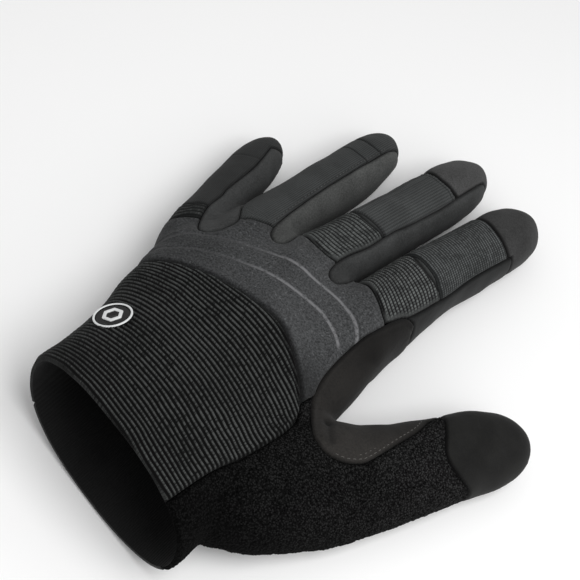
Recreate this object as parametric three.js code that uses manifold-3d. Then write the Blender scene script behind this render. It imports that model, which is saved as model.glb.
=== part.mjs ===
// Work glove for the left hand, back of the hand up, lying on its palm.
// Millimetres, +Y from the cuff to the fingertips, +X towards the thumb, +Z up.
// The glove is one thin shell, cut along its seams into the panels it is sewn from.
import * as THREE from 'three';
import { LoftGeometry } from 'three/addons/geometries/LoftGeometry.js';
import { mergeVertices } from 'three/addons/utils/BufferGeometryUtils.js';
import Module from 'manifold-3d';

const wasm = await Module();
wasm.setup();

// ---------------------------------------------------------------- sizes, mm
const WALL = 2.0;            // cloth, knit and foam-backed panels
const SEAM = 0.4;            // gap left between two panels at a seam
const FLOOR = 0;             // the flat underside that the glove lies on
const CUFF_RUN = 12;         // how far the hollow is run out past the cuff
const ORIGIN = { x: 24.13, y: 138.66, z: 0 };   // middle of the footprint, in the hand's frame
const SIDES = {               // sides of a section: outer skin, inner skin
  hand: [26, 20], finger: [16, 12], thumb: [18, 14], crotch: [12, 10],
};

// Each row is one section across the form: its middle x, y, the turn of the
// section about Z in degrees (clockwise from above), half width, lowest and
// highest point before the roll, the roll of the section about its own axis,
// and the roundness (2 is an ellipse, more is squarer).
const ROW = (x, y, yaw, half, low, high, roll, round) => ({ x, y, yaw, half, low, high, roll, round });

const HAND = [
  ROW(1.7, 21.2, 13, 43.9, 1.1, 57.3, 0, 2.35),
  ROW(2.0, 40, 11, 43.2, -0.6, 55.5, 0, 2.35),
  ROW(1.2, 60, 8, 43.2, -1.2, 51.8, 0, 2.35),
  ROW(-0.8, 80, 5, 45.0, -1.2, 47.0, 0, 2.3),
  ROW(-2.1, 97, 1, 45.8, -1.2, 43.6, 0, 2.3),
  ROW(-2.6, 112, -4, 47.2, -1.2, 41.5, 0, 2.35),
  ROW(-2.8, 126, -8, 48.4, -1.0, 40.6, 0, 2.4),
  ROW(-3.0, 141, -12, 47.0, 2.0, 37.2, 0, 2.4),
];
const MIDDLE = [
  ROW(-1.5, 116, 0, 11, 8, 33, 0, 2.4),
  ROW(-1, 134, 3, 14.3, 2.6, 41, 0, 2.4),
  ROW(0.3, 151, 6, 14.2, 3.6, 38.5, 0, 2.3),
  ROW(3, 170, 7, 13.4, 4.4, 35, 0, 2.3),
  ROW(5, 185, 7, 13, 4, 33, 0, 2.3),
  ROW(7, 200, 8, 12.8, 2.6, 31, 0, 2.3),
  ROW(9.3, 215, 8.5, 12.5, 0.6, 29, 0, 2.3),
  ROW(11.5, 230, 8.5, 12.4, -0.8, 27, 0, 2.3),
  ROW(13.2, 243, 8.5, 12.3, -0.8, 25, 0, 2.3),
  ROW(14.6, 253, 8.5, 11.2, -0.4, 22.5, 0, 2.2),
  ROW(15.5, 260, 8.5, 8.6, 1.0, 19.5, 0, 2.1),
  ROW(16, 264.5, 8.5, 5, 3.8, 15.8, 0, 2),
  ROW(16.2, 266.3, 8.5, 1.8, 7.4, 11.6, 0, 2),
];
const INDEX = [
  ROW(29, 116, 0, 11, 9, 30, 0, 2.4),
  ROW(31.6, 134, 4, 15.2, 2.8, 38.5, 0, 2.4),
  ROW(32.4, 150, 6, 15.3, 3.4, 37.8, 0, 2.3),
  ROW(33.6, 167, 7.5, 14.7, 4.2, 35.4, 0, 2.3),
  ROW(35.2, 182, 8.5, 14.2, 3.8, 33.6, 0, 2.3),
  ROW(37.4, 197, 9.5, 13.5, 2.4, 31.8, 0, 2.3),
  ROW(40.2, 212, 10.5, 13.4, 0.4, 29.8, 0, 2.3),
  ROW(42.8, 226, 10.5, 13.5, -0.8, 27.8, 0, 2.3),
  ROW(45, 238, 10, 13.2, -0.8, 25.4, 0, 2.3),
  ROW(46.3, 247, 9, 11.8, -0.4, 22.8, 0, 2.2),
  ROW(47.2, 253.5, 8, 8.9, 1.2, 19.4, 0, 2.1),
  ROW(47.7, 257.5, 8, 5, 3.8, 15.4, 0, 2),
  ROW(47.9, 259, 8, 1.8, 7.4, 11.4, 0, 2),
];
const RING = [
  ROW(-27.5, 113, 0, 11, 8, 30, 0, 2.4),
  ROW(-27.2, 129, 1, 14, 2.6, 38, 0, 2.4),
  ROW(-26.8, 146, 2, 13.4, 3.6, 36.5, 0, 2.3),
  ROW(-26.2, 162, 3, 12.8, 4.4, 33.5, 0, 2.3),
  ROW(-25.2, 177, 3, 12.3, 4, 31.5, 0, 2.3),
  ROW(-24.4, 192, 3, 12, 2.6, 29.5, 0, 2.3),
  ROW(-23.6, 206, 2.5, 11.8, 0.6, 27, 0, 2.3),
  ROW(-23, 218, 1.5, 11.6, -0.8, 25, 0, 2.3),
  ROW(-22.8, 229, 0.5, 11.2, -0.8, 23.2, 0, 2.3),
  ROW(-22.8, 238, 0, 10, -0.3, 20.8, 0, 2.2),
  ROW(-22.9, 244.5, 0, 7.6, 1.4, 18, 0, 2.1),
  ROW(-23, 248.3, 0, 4.4, 4, 14.8, 0, 2),
  ROW(-23, 249.7, 0, 1.6, 7, 11, 0, 2),
];
const LITTLE = [
  ROW(-40, 106, -4, 6, 9, 24, 0, 2.4),
  ROW(-45.2, 123, -5, 9.2, 3.4, 30.4, 0, 2.4),
  ROW(-47.4, 136, -6, 9.8, 2.6, 30.6, 0, 2.3),
  ROW(-49.4, 150, -6, 9.9, 3, 28.3, 0, 2.3),
  ROW(-51.6, 164, -6.5, 10, 2.4, 26, 0, 2.3),
  ROW(-53.2, 177, -8, 10, 0.5, 23.8, 0, 2.3),
  ROW(-54.9, 188, -8, 9.9, -0.8, 21.8, 0, 2.3),
  ROW(-56, 196, -7, 8.8, -0.4, 19.8, 0, 2.2),
  ROW(-56.6, 202, -6, 6.6, 1.2, 17, 0, 2.1),
  ROW(-57, 205.6, -6, 3.8, 3.8, 14, 0, 2),
  ROW(-57.1, 206.8, -6, 1.5, 6.6, 10.6, 0, 2),
];
const THUMB = [
  ROW(24, 30, 25, 16, 10, 44, 0, 2.1),
  ROW(32.5, 42.5, 29, 21, 3, 43, 8, 2.1),
  ROW(43, 56, 33, 24, 0.2, 40.5, 18, 2.1),
  ROW(54.6, 71.2, 34, 24.0, -0.5, 37, 27, 2.15),
  ROW(72, 94.3, 33, 19.9, 0.4, 31.4, 32, 2.2),
  ROW(81.2, 109.4, 32, 17.7, 0.6, 28.8, 34, 2.2),
  ROW(89.5, 126.3, 32, 16.6, 0.8, 27, 34, 2.2),
  ROW(95.2, 136.4, 32, 16, 0.8, 25.6, 34, 2.2),
  ROW(100.4, 144.6, 32, 14, 1.6, 24, 34, 2.15),
  ROW(104.1, 150.5, 32, 10.9, 3.4, 21.6, 34, 2.1),
  ROW(106.3, 154, 32, 6.8, 6.2, 18.2, 34, 2),
  ROW(107.3, 155.7, 32, 2.4, 10, 14.2, 34, 2),
];
const CROTCH = [
  ROW(46, 84, 40, 20, 4, 34, 0, 2.2),
  ROW(50.5, 90.5, 40, 14, 6, 31, 0, 2.2),
  ROW(53.8, 95, 40, 8, 9, 26, 0, 2.1),
  ROW(55.6, 97.6, 40, 3, 13, 21, 0, 2),
];
// the webs between the fingers, nearly level with the back of the hand
const WEBS = [
  [
    ROW(8, 118, 0, 9, 8, 33, 0, 2.2),
    ROW(11, 134, 2, 10, 5, 37, 0, 2.2),
    ROW(13, 143, 4, 8, 5, 36.2, 0, 2.2),
    ROW(14.8, 149, 5, 6, 6, 33.6, 0, 2.2),
    ROW(16, 153.5, 6, 4.2, 9, 29.5, 0, 2.1),
    ROW(16.6, 157, 6, 1.8, 13, 23, 0, 2),
  ],
  [
    ROW(-14, 120, 0, 9, 8, 33, 0, 2.2),
    ROW(-14, 136, 1, 10, 5, 37, 0, 2.2),
    ROW(-13.8, 146, 2, 7.5, 5, 35.6, 0, 2.2),
    ROW(-13.4, 152, 3, 5.4, 6, 33, 0, 2.2),
    ROW(-13, 156.5, 3, 3.6, 9, 28.5, 0, 2.1),
    ROW(-12.7, 160, 3, 1.6, 13, 22.5, 0, 2),
  ],
  [
    ROW(-38, 108, -2, 7, 8, 28, 0, 2.2),
    ROW(-38.6, 124, -3, 8, 5, 31.5, 0, 2.2),
    ROW(-39.4, 134, -3, 6.4, 5, 30.6, 0, 2.2),
    ROW(-40, 141, -3, 4.6, 6, 28.4, 0, 2.2),
    ROW(-40.3, 146.5, -3, 3, 9, 24.5, 0, 2.1),
    ROW(-40.5, 150, -3, 1.4, 12, 20, 0, 2),
  ],
];
// the root of the index finger bulges out over the crotch of the thumb
const ROOT = [
  ROW(38, 96, 8, 8.2, 7, 30, 0, 2.2),
  ROW(37.8, 104, 8, 9.8, 7, 31, 0, 2.3),
  ROW(37.3, 112, 6, 10.4, 8, 32, 0, 2.3),
  ROW(36.6, 121, 4, 10.5, 8, 32, 0, 2.3),
  ROW(35.6, 129, 4, 9.6, 10, 32, 0, 2.3),
];
const FORMS = [
  { rows: HAND, sides: SIDES.hand, open: true },
  { rows: MIDDLE, sides: SIDES.finger },
  { rows: INDEX, sides: SIDES.finger },
  { rows: RING, sides: SIDES.finger },
  { rows: LITTLE, sides: SIDES.finger },
  { rows: THUMB, sides: SIDES.thumb },
  { rows: CROTCH, sides: SIDES.crotch },
  { rows: ROOT, sides: SIDES.crotch },
  ...WEBS.map((rows) => ({ rows, sides: SIDES.crotch })),
];

// ---------------------------------------------------------------- seams, mm
// Each seam is a short run of x, y points seen from above.
const P = (...xy) => {
  const run = [];
  for (let i = 0; i < xy.length; i += 2) run.push({ x: xy[i], y: xy[i + 1] });
  return run;
};
const ribTop = P(-60, 100.5, -50, 99.4, -44.2, 99.8, -36.8, 102.2, -30, 104.1, -22.8, 106, -16.3, 107.3, -9.5, 108.2, -2.2, 108.8, 5, 109.1, 11.4, 108.4, 15.8, 106.6, 21.1, 103.3, 25.9, 99.9, 30.5, 96.5, 34.7, 93.1, 38, 90);
const ribSide = P(38, 90, 40.3, 84, 41.2, 78, 41.2, 70, 39.9, 59.9, 37.9, 48.7, 36.3, 41, 34.7, 31.6, 33.4, 21, 32, 6);
const saddleSeam = P(45.9, 155.8, 43.3, 152.6, 41.4, 147.2, 39, 136, 36.4, 124, 36.4, 108, 38.6, 97.8, 43.4, 88.5, 48.6, 80.5, 53.7, 77.6, 58.5, 77.7, 63.4, 80.1, 67.3, 83.8, 70.1, 88.8, 72.9, 102.7, 75.1, 115.3, 74.9, 124);
const thumbCapSeam = P(66, 146, 76.6, 133.6, 83.5, 123.3, 89.1, 116.4, 97.4, 116.2, 108, 121, 125, 126);
const littleSeam = P(-39.6, 124.2, -42, 126.6, -43.9, 130.6, -45.5, 135.8, -47, 142, -47.5, 150.8, -48.5, 155.9, -49.3, 168.7, -49.9, 177.4, -51.4, 186.2, -53.4, 195);
const ringSeam = P(-16.2, 141.5, -18.3, 143.3, -19.7, 146, -20.4, 151.1, -21, 161.7, -20.8, 172.8, -20.2, 188, -19.6, 196, -18.6, 211.7, -17.6, 223.6, -17, 234);
const middleSeam = P(12.2, 142, 10.2, 143.6, 8.8, 147.4, 8.7, 153, 9.6, 160.9, 11.9, 171.7, 13, 181.3, 14, 190, 16.1, 200.1, 18.3, 213.5, 19.6, 222.7, 20.8, 233.8, 22, 246);
const indexSeam = P(39.4, 141.4, 41.4, 146.7, 44.3, 155.9, 46.8, 173, 48, 182, 49.6, 197, 52.2, 212, 54.9, 226);

// ---------------------------------------------------------------- shapes
function solid(geometry, tolerance = 1e-4) {
  const bare = new THREE.BufferGeometry();
  bare.setAttribute('position', geometry.attributes.position);
  if (geometry.index) bare.setIndex(geometry.index);
  const m = mergeVertices(bare, tolerance);
  return new wasm.Manifold(new wasm.Mesh({
    numProp: 3,
    vertProperties: new Float32Array(m.attributes.position.array),
    triVerts: new Uint32Array(m.index.array),
  }));
}

function section(row, sides, inset) {
  const yaw = THREE.MathUtils.degToRad(row.yaw);
  const roll = -THREE.MathUtils.degToRad(row.roll);
  const across = new THREE.Vector3(Math.cos(yaw), -Math.sin(yaw), 0);
  const half = row.half - inset;
  const rise = (row.high - row.low) / 2 - inset;
  const middle = new THREE.Vector3(row.x, row.y, (row.high + row.low) / 2);
  const ring = [];
  for (let i = 0; i < sides; i++) {
    const t = 2 * Math.PI * i / sides;
    const c = -Math.cos(t), s = Math.sin(t);
    const u = Math.sign(c) * Math.pow(Math.abs(c), 2 / row.round) * half;
    const w = Math.sign(s) * Math.pow(Math.abs(s), 2 / row.round) * rise;
    const a = u * Math.cos(roll) - w * Math.sin(roll);
    const b = u * Math.sin(roll) + w * Math.cos(roll);
    ring.push(middle.clone().addScaledVector(across, a).add(new THREE.Vector3(0, 0, b)));
  }
  return ring;
}

// The inner skin's tip is drawn back from the outer tip, so the wall is even there.
function drawnBack(rows, inset) {
  if (inset === 0) return rows;
  const widest = Math.max(...rows.map((r) => r.half));
  const room = rows.filter((r) => Math.min(r.half, (r.high - r.low) / 2) > inset + 0.8);
  const kept = room.length < 10 ? room : room.filter((r, i) => i % 2 === 0 || i === room.length - 1);
  return kept.map((r, i) => {
    if (i < kept.length / 2) return r;
    const k = inset * (1 - r.half / widest);
    const yaw = THREE.MathUtils.degToRad(r.yaw);
    return { ...r, x: r.x - k * Math.sin(yaw), y: r.y - k * Math.cos(yaw) };
  });
}

function form({ rows, sides, open }, inset) {
  let run = drawnBack(rows, inset);
  if (open && inset > 0) {
    const first = run[0];
    const yaw = THREE.MathUtils.degToRad(first.yaw);
    run = [{ ...first, x: first.x - CUFF_RUN * Math.sin(yaw), y: first.y - CUFF_RUN * Math.cos(yaw) }, ...run];
  }
  const count = sides[inset > 0 ? 1 : 0];
  return solid(new LoftGeometry(run.map((r) => section(r, count, inset)), { closed: true, capStart: true, capEnd: true }));
}

const block = (x0, y0, z0, x1, y1, z1) => {
  const g = new THREE.BoxGeometry(x1 - x0, y1 - y0, z1 - z0);
  g.translate((x0 + x1) / 2, (y0 + y1) / 2, (z0 + z1) / 2);
  return solid(g);
};

function skin(inset, lowest) {
  const joined = FORMS.map((f) => form(f, inset)).reduce((a, b) => a.add(b));
  return joined.subtract(block(-200, -100, -60, 300, 400, lowest));
}

// An outline seen from above, grown by d on every side.
function grown(outline, d) {
  const area = outline.reduce((s, p, i) => {
    const q = outline[(i + 1) % outline.length];
    return s + p.x * q.y - q.x * p.y;
  }, 0);
  const pts = area > 0 ? outline : [...outline].reverse();
  if (d === 0) return pts;
  return pts.map((p, i) => {
    const a = pts[(i + pts.length - 1) % pts.length], b = pts[(i + 1) % pts.length];
    const e = new THREE.Vector2(p.x - a.x, p.y - a.y).normalize();
    const f = new THREE.Vector2(b.x - p.x, b.y - p.y).normalize();
    const n = new THREE.Vector2(e.y + f.y, -e.x - f.x).normalize();
    const k = d / Math.max(0.6, n.x * e.y - n.y * e.x);
    return { x: p.x + n.x * k, y: p.y + n.y * k };
  });
}

// A straight-sided region above an outline, from z0 to z1.
const region = (outline, z0, z1) => (d) => {
  const shape = new THREE.Shape(grown(outline, d).map((p) => new THREE.Vector2(p.x, p.y)));
  const g = new THREE.ExtrudeGeometry(shape, { depth: z1 - z0 + 2 * d, bevelEnabled: false });
  g.translate(0, 0, z0 - d);
  return solid(g);
};
// A region under a line that falls along the hand, given as y, z pairs, between x0 and x1.
const under = (line, x0, x1) => (d) => {
  const pts = line.map(([y, z]) => new THREE.Vector2(y, z + d));
  const shape = new THREE.Shape([new THREE.Vector2(line[0][0], -5), ...pts, new THREE.Vector2(line.at(-1)[0], -5)].reverse());
  const g = new THREE.ExtrudeGeometry(shape, { depth: x1 - x0 + 2 * d, bevelEnabled: false });
  // y, z, x of the profile become x, y, z of the hand
  g.applyMatrix4(new THREE.Matrix4().set(0, 0, 1, x0 - d, 1, 0, 0, 0, 0, 1, 0, 0, 0, 0, 0, 1));
  return solid(g);
};
const both = (a, b) => (d) => a(d).add(b(d));
const without = (a, b) => (d) => a(d).subtract(b(-d));
const within = (a, b) => (d) => a(d).intersect(b(d));

const HIGH = 70;
const palmLine = [[-10, 16], [60, 14], [110, 12.5], [140, 11], [170, 10.5], [200, 8.5], [230, 7], [290, 6.5]];
const wallLine = [[100, 21], [150, 19], [185, 15.5], [215, 13.5], [250, 11], [290, 10]];
const THUMB_SIDE = P(42, -20, 140, -20, 140, 170, 72, 150, 52, 106, 42, 100);
const THUMB_EDGE = 5.5;      // height of the seam that runs low round the thumb

// ---------------------------------------------------------------- cut the shell
let rest = skin(0, FLOOR).subtract(skin(WALL, FLOOR + WALL));
const pieces = {};
function take(name, volume) {
  const part = rest.intersect(volume(0));
  pieces[name] = pieces[name] ? pieces[name].add(part) : part;
  rest = rest.subtract(volume(SEAM));
}

take('thumb_tip_cap', region([...thumbCapSeam, ...P(125, 180, 66, 180)], -5, HIGH));
// the palm turns up a little in the hollow between the hand and the thumb,
// and round the outer side of the index finger
const palmHollow = both(region(P(36, 60, 50, 60, 62, 98, 56, 103, 36, 103), -5, 18), region(P(56, 98, 64, 98, 84, 128, 77, 136, 56, 108), -5, 9));
take('thumb_saddle', without(region([...saddleSeam, ...P(76.6, 134, 66, 146, 56, 150, 50, 155)], THUMB_EDGE, HIGH), palmHollow));
take('palm_panel', both(both(both(palmHollow,
  without(under(palmLine, -100, 140), region(THUMB_SIDE, THUMB_EDGE, 60))),
  region([...indexSeam, ...P(80, 226, 80, 141)], 4, HIGH)),
  within(region(P(38, 141, 80, 141, 80, 225, 44, 225), 0, HIGH), under(wallLine, -90, 90)),
));
take('fourchette_little_ring', both(
  region([...littleSeam, ...P(-50, 201, -47, 206, -44.3, 196, -41.5, 180, -39.8, 165, -37.4, 150, -32.6, 140.4, -31.5, 136.6, -32.4, 131.5, -34.6, 127.2, -37.3, 124.4)], 0, HIGH),
  within(region(P(-39, 138, -39.8, 165, -41.5, 180, -44, 196, -44, 252, -23, 252, -25, 138), 0, HIGH), under(wallLine, -90, 90)),
));
take('fourchette_ring_middle', both(
  region([...ringSeam, ...P(-16, 241, -9, 245, -6.5, 220, -9, 200, -11, 177, -12.9, 160, -11.9, 154, -11.4, 148, -12, 143.6, -14, 141.2)], 0, HIGH),
  within(region(P(-14, 146, -13.2, 160, -11, 177, -9, 200, -6.5, 220, -6, 270, 15, 270, 3, 170, 0, 146), 0, HIGH), under(wallLine, -90, 90)),
));
take('fourchette_middle_index', both(both(
  region([...middleSeam, ...P(22.6, 255, 29, 262, 27.6, 235, 23.8, 215, 20.4, 195, 18.2, 180, 16.4, 165, 15.8, 157, 16.3, 150, 16.1, 145.6, 15.3, 143.1, 14, 142)], 0, HIGH),
  region(P(8, 139, 22, 139, 22, 152, 8, 152), 0, 28)),
  within(region(P(15.6, 142, 16.4, 165, 18.2, 180, 20.4, 195, 23.8, 215, 26.4, 228, 44, 223, 34, 167, 32, 142), 0, HIGH), under(wallLine, -90, 90)),
));
take('index_tip_cap', region(P(28, 234, 32.3, 231, 39.1, 228.4, 45.7, 225.6, 52.1, 224, 62, 224.5, 75, 224.5, 75, 275, 30, 275), -5, HIGH));
take('middle_tip_cap', region(P(-8, 239, 0.5, 236.5, 7.9, 233.6, 13.6, 233.2, 21.4, 233.6, 27, 240, 27, 280, -8, 280), -5, HIGH));
take('ring_tip_cap', region(P(-42, 231.5, -30, 229.5, -23, 228.4, -16.6, 228.6, -12, 229, -12, 262, -42, 262), -5, HIGH));
take('index_back', region(P(20, 186, 24.8, 184.6, 33.5, 181.7, 40.6, 179.2, 45.2, 177, 62, 172, 62, 240, 28, 240, 24, 214), -5, HIGH));
take('middle_back', region(P(-14, 188, -9, 186.4, -2.7, 184.9, 5.1, 183.6, 12, 183.4, 17, 182.6, 20.2, 195, 23.8, 215, 27, 240, -10, 250), -5, HIGH));
take('index_knuckle_band', region(P(15.6, 158, 18, 155.6, 24.4, 152.3, 32, 147, 39.2, 141.8, 62, 141.8, 62, 190, 20, 190), -5, HIGH));
take('middle_knuckle_band', region(P(-13.9, 156, -9.6, 154.6, -4, 151.4, 0.9, 150.2, 5, 150.6, 9.6, 152.6, 15, 152.6, 17.6, 190, -16, 190), -5, HIGH));
take('ring_back', region(P(-45, 140, -32.6, 139.6, -29.2, 142.7, -25.1, 145.2, -20.4, 148.4, -17, 150, -15.4, 240, -45, 240), -5, HIGH));
take('little_back', region(P(-75, 136, -54, 136.2, -51, 138, -46, 141.2, -40, 142, -40, 215, -75, 215), -5, HIGH));
take('little_knuckle_band', region(P(-75, 125, -54.5, 126.2, -51.4, 127.4, -48.7, 129.6, -44.6, 132.6, -40, 133.4, -40, 150, -75, 150), -5, HIGH));
take('back_panel', region([...ribTop, ...ribSide.slice(1), ...P(-75, 6, -75, 103.5)], -5, HIGH));
take('thumb_panel', region(P(38, 90, 38.3, 93, 38.9, 96.8, 49, 100, 66, 118, 73, 137, 90, 140, 140, 140, 140, -20, 20, -20, 32, 6, 33.4, 21, 34.7, 31.6, 36.3, 41, 37.9, 48.7, 39.9, 59.9, 41.2, 70, 41.2, 78, 40.3, 84), -5, HIGH));
take('knuckle_panel', region(P(-90, 90, 70, 80, 70, 175, -90, 175), -5, HIGH));

// ---------------------------------------------------------------- badge
const BADGE = { x: -30.2, y: 60.1, radius: 7.3, ring: 0.8, thick: 1.8, sunk: 0.65, proud: 0.4 };
function hit(x, y) {                      // height and slope of the outer skin at x, y
  const u = (r) => {
    const yaw = THREE.MathUtils.degToRad(r.yaw);
    return (x - r.x) / Math.cos(yaw) / r.half;
  };
  const i = HAND.findIndex((r) => r.y > y) - 1;
  const a = HAND[i], b = HAND[i + 1], k = (y - a.y) / (b.y - a.y);
  const z = (r) => (r.high + r.low) / 2 + (r.high - r.low) / 2 * Math.pow(1 - Math.pow(Math.abs(u(r)), r.round), 1 / r.round);
  return z(a) * (1 - k) + z(b) * k;
}
const step = 3;
const slope = new THREE.Vector3(
  (hit(BADGE.x - step, BADGE.y) - hit(BADGE.x + step, BADGE.y)) / (2 * step) + 0.09,
  (hit(BADGE.x, BADGE.y - step) - hit(BADGE.x, BADGE.y + step)) / (2 * step) - 0.09, 1).normalize();
const seat = new THREE.Vector3(BADGE.x, BADGE.y, hit(BADGE.x, BADGE.y)).addScaledVector(slope, -BADGE.sunk);
const stand = new THREE.Matrix4().compose(seat, new THREE.Quaternion().setFromUnitVectors(new THREE.Vector3(0, 0, 1), slope), new THREE.Vector3(1, 1, 1));
function turned(profile, segments = 24) {
  const g = new THREE.LatheGeometry(profile.map(([r, z]) => new THREE.Vector2(r, z)), segments);
  g.rotateX(Math.PI / 2);
  g.applyMatrix4(stand);
  return solid(g);
}
const { radius, ring, thick, proud } = BADGE;
const disc = turned([[0, 0], [radius - ring - 0.3, 0], [radius - ring - 0.3, thick], [0, thick]]);
const rim = turned([[radius - ring, 0], [radius, 0], [radius, thick + proud], [radius - ring, thick + proud], [radius - ring, 0]]);
pieces.back_panel = pieces.back_panel.subtract(turned([[0, -0.3], [radius + 0.3, -0.3], [radius + 0.3, 8], [0, 8]]));
pieces.badge_disc = disc;
pieces.badge_ring = rim;
// A plain hexagon outline stands on the disc.
const hex = new THREE.Shape();
const hexHole = new THREE.Path();
for (let i = 0; i < 6; i++) {
  const t = Math.PI / 3 * i;
  const put = (path, r) => (i ? path.lineTo(r * Math.cos(t), r * Math.sin(t)) : path.moveTo(r * Math.cos(t), r * Math.sin(t)));
  put(hex, radius * 0.56);
  put(hexHole, radius * 0.36);
}
hex.closePath(); hexHole.closePath();
hex.holes.push(hexHole);
const mark = new THREE.ExtrudeGeometry(hex, { depth: 0.5, bevelEnabled: false });
mark.translate(0, 0, thick + 0.3);
mark.applyMatrix4(stand);
pieces.badge_mark = solid(mark);

// ---------------------------------------------------------------- looks and nodes
const LOOK = {
  palm_panel: [0x2b2a2a, 0.85], thumb_tip_cap: [0x232120, 0.7], thumb_saddle: [0x302f2e, 0.8],
  thumb_panel: [0x151616, 0.98], back_panel: [0x1d1d1d, 0.9], knuckle_panel: [0x404144, 0.92],
  fourchette_little_ring: [0x393838, 0.85], fourchette_ring_middle: [0x3c3b3b, 0.85], fourchette_middle_index: [0x3c3b3b, 0.85],
  index_tip_cap: [0x383838, 0.75], middle_tip_cap: [0x474747, 0.75], ring_tip_cap: [0x3a3b3b, 0.85],
  index_back: [0x2f3030, 0.9], middle_back: [0x3a3b3b, 0.9], ring_back: [0x333434, 0.9], little_back: [0x2a2b2b, 0.9],
  index_knuckle_band: [0x333434, 0.9], middle_knuckle_band: [0x363737, 0.9], little_knuckle_band: [0x2c2d2d, 0.9],
  badge_disc: [0x0c0c0d, 0.5], badge_ring: [0xe6e8e8, 0.35], badge_mark: [0xe6e8e8, 0.35],
};

// The largest body of a cut piece, found across shared edges: slivers where
// three seams meet are dropped.
function largest(piece) {
  const cut = piece.getMesh();
  const drawn = new THREE.BufferGeometry();
  drawn.setAttribute('position', new THREE.Float32BufferAttribute(cut.vertProperties, 3));
  drawn.setIndex(new THREE.BufferAttribute(cut.triVerts, 1));
  const { vertProperties: xyz, triVerts: tris } = solid(drawn, 2e-3).getMesh();
  const count = tris.length / 3;
  const root = Array.from({ length: count }, (_, i) => i);
  const find = (i) => { while (root[i] !== i) { root[i] = root[root[i]]; i = root[i]; } return i; };
  const edges = new Map();
  for (let t = 0; t < count; t++) {
    for (let k = 0; k < 3; k++) {
      const a = tris[3 * t + k], b = tris[3 * t + (k + 1) % 3];
      const key = Math.min(a, b) + ' ' + Math.max(a, b);
      if (edges.has(key)) root[find(t)] = find(edges.get(key));
      else edges.set(key, t);
    }
  }
  const size = new Map();
  for (let t = 0; t < count; t++) size.set(find(t), (size.get(find(t)) || 0) + 1);
  const keep = [...size].sort((a, b) => b[1] - a[1])[0][0];
  const index = [], points = [], moved = new Map();
  for (let t = 0; t < count; t++) {
    if (find(t) !== keep) continue;
    for (let k = 0; k < 3; k++) {
      const v = tris[3 * t + k];
      if (!moved.has(v)) {
        moved.set(v, points.length / 3);
        points.push(xyz[3 * v], xyz[3 * v + 1], xyz[3 * v + 2]);
      }
      index.push(moved.get(v));
    }
  }
  const geometry = new THREE.BufferGeometry();
  geometry.setAttribute('position', new THREE.Float32BufferAttribute(points, 3));
  geometry.setIndex(index);
  return geometry;
}

const glove = new THREE.Group();
glove.position.set(-ORIGIN.x, -ORIGIN.y, -ORIGIN.z);
for (const [name, [color, roughness]] of Object.entries(LOOK)) {
  const geometry = largest(pieces[name]);
  geometry.computeVertexNormals();
  const node = new THREE.Mesh(geometry, new THREE.MeshStandardMaterial({ color, roughness, metalness: 0 }));
  node.name = name;
  glove.add(node);
}
export default glove;
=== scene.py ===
import math

import bpy
import numpy as np
from mathutils import Matrix, Vector
from mathutils.bvhtree import BVHTree


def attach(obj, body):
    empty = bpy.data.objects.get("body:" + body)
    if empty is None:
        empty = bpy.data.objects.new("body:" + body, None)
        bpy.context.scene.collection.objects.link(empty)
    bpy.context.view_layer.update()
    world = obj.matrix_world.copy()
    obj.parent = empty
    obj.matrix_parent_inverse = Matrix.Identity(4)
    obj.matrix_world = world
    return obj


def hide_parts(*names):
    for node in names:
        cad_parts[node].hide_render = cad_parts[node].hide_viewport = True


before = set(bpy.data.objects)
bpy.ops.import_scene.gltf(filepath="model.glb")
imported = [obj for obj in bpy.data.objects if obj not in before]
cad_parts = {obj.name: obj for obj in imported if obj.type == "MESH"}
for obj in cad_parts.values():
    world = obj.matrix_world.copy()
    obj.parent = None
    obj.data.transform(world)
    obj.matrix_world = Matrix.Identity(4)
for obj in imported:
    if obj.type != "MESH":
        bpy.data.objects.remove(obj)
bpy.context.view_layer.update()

# A work glove for the left hand, lying on its palm. The shape is worked out in
# millimetres in the hand's own frame (+Y to the fingertips, +X to the thumb)
# and written out in metres in the row frame.
ORIGIN = np.array([24.13, 138.66, 0.0])
VOXEL = 1.05          # mm, grain of the base skin
WALL = 1.75           # mm, thickness of a panel
GAP = 0.30            # mm, between two panels at a seam


def ROW(*v):
    return v


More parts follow.
